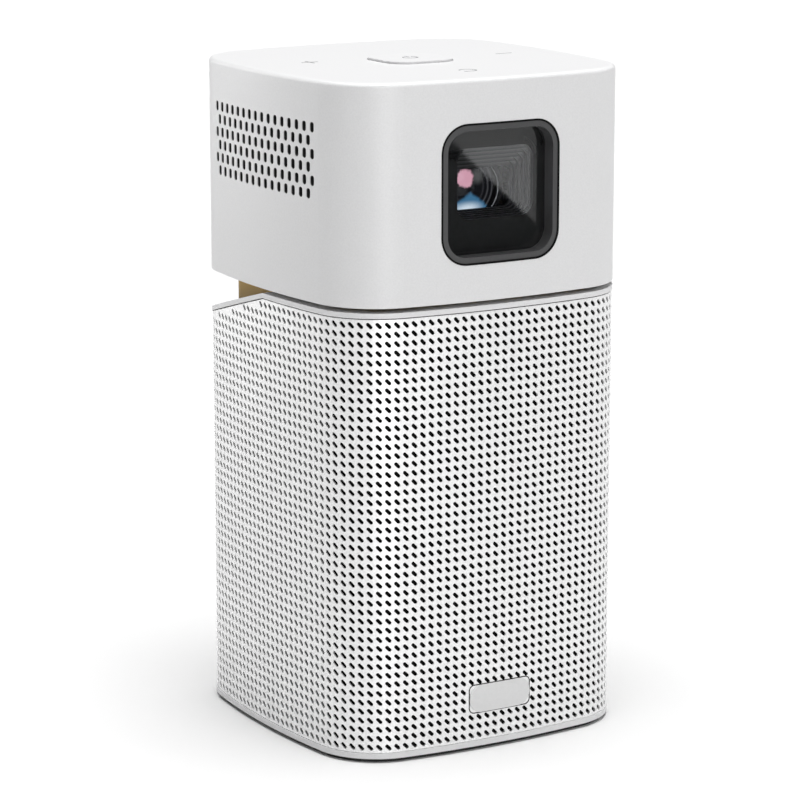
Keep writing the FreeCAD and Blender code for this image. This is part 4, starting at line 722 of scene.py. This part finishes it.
def make_room():
    """A wide pale floor under an even, dim surround."""
    bm = bmesh.new()
    bmesh.ops.create_grid(bm, x_segments=1, y_segments=1, size=12)
    mesh = bpy.data.meshes.new("floor")
    bm.to_mesh(mesh)
    bm.free()
    mesh.materials.append(surface("floor_white_board", (0.715, 0.715, 0.715), 0.9, 0.004, 3, specular=0.0))
    floor = bpy.data.objects.new("floor", mesh)
    bpy.context.scene.collection.objects.link(floor)
    world = bpy.data.worlds.new("studio")
    bpy.context.scene.world = world
    world.use_nodes = True
    background = world.node_tree.nodes["Background"]
    background.inputs["Color"].default_value = (1, 1, 1, 1)
    background.inputs["Strength"].default_value = 0.10


def soft_box(name, azimuth, elevation, distance, width, height, watts):
    """A rectangular soft light aimed at the middle of the object."""
    light = bpy.data.lights.new(name, "AREA")
    light.shape = "RECTANGLE"
    light.size, light.size_y = width, height
    light.energy = watts
    made = bpy.data.objects.new(name, light)
    a, e = math.radians(azimuth), math.radians(elevation)
    away = Vector((math.sin(a) * math.cos(e), -math.cos(a) * math.cos(e), math.sin(e)))
    made.location = Vector((0, 0, 0.08)) + away * distance
    made.rotation_euler = (-away).to_track_quat("-Z", "Y").to_euler()
    bpy.context.scene.collection.objects.link(made)
    return made


def make_lights():
    sun = bpy.data.lights.new("overhead", "SUN")
    sun.energy = 4.3
    sun.angle = math.radians(50)
    overhead = bpy.data.objects.new("overhead", sun)
    overhead.rotation_euler = (math.radians(2), 0, 0)
    bpy.context.scene.collection.objects.link(overhead)
    soft_box("key_box", 10, 20, 1.6, 0.6, 0.9, 4.6)
    sheens = (
        soft_box("corner_sheen", -15, 0, 1.2, 0.5, 1.2, 14),
        soft_box("side_sheen", -155, 0, 1.2, 0.5, 1.2, 9),
    )
    for sheen in sheens:
        sheen.visible_diffuse = False


def mirrored_on_floor(x, z, plane_y, eye):
    """Where on the floor the eye sees through a point of an upright mirror."""
    eye = Vector((eye.x, 2 * plane_y - eye.y, eye.z))
    spot = Vector((x, plane_y, z))
    ray = spot - eye
    return eye + ray * (-eye.z / ray.z)


def make_window_card(eye):
    """A dark card on the floor that only mirrors see: its edge crosses the window's sheen on a slant."""
    low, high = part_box("lens_window")
    bm = bmesh.new()
    sheen = [
        (low.x - 22 * MM, high.z + 20 * MM), (high.x + 9 * MM, low.z - 5 * MM),
        (high.x + 9 * MM, low.z - 20 * MM), (low.x - 22 * MM, low.z - 20 * MM),
    ]
    corners = [mirrored_on_floor(x, z, low.y, eye) for x, z in sheen]
    bm.faces.new([bm.verts.new((corner.x, corner.y, 1 * MM)) for corner in corners])
    mesh = bpy.data.meshes.new("window_card")
    bm.to_mesh(mesh)
    bm.free()
    mesh.materials.append(surface("card_black", (0.004, 0.004, 0.004), 0.9, 0.1, 20, specular=0.0))
    card = bpy.data.objects.new("window_card", mesh)
    bpy.context.scene.collection.objects.link(card)
    card.visible_camera = card.visible_diffuse = card.visible_shadow = False


def make_camera():
    data = bpy.data.cameras.new("camera")
    data.lens = 148.61
    data.sensor_width = 36
    camera = bpy.data.objects.new("camera", data)
    azimuth, elevation, distance = math.radians(-30.772), math.radians(12.252), 0.78108
    target = Vector((-0.002029, 0.001208, 0.074393))
    away = Vector((
        math.sin(azimuth) * math.cos(elevation),
        -math.cos(azimuth) * math.cos(elevation),
        math.sin(elevation),
    ))
    camera.location = target + away * distance
    camera.rotation_euler = (-away).to_track_quat("-Z", "Y").to_euler()
    bpy.context.scene.collection.objects.link(camera)
    bpy.context.scene.camera = camera
    bpy.context.scene.view_settings.view_transform = "Standard"
    return camera


finish_cad_nodes()
make_grille()
make_marks()
make_socket_frame()
# painted shade in the gaps round the lens bezel and the badge
make_gap_shade_line("bezel_gap_shade", "lens_bezel", 6.1 * MM, 0.42 * MM, Outline(0), "head")
make_gap_shade_line("badge_gap_shade", "badge", 1.2 * MM, 0.2 * MM, FACE, "base")
make_lens_rim()
make_front_lens()
make_room()
make_lights()
make_window_card(make_camera().location)
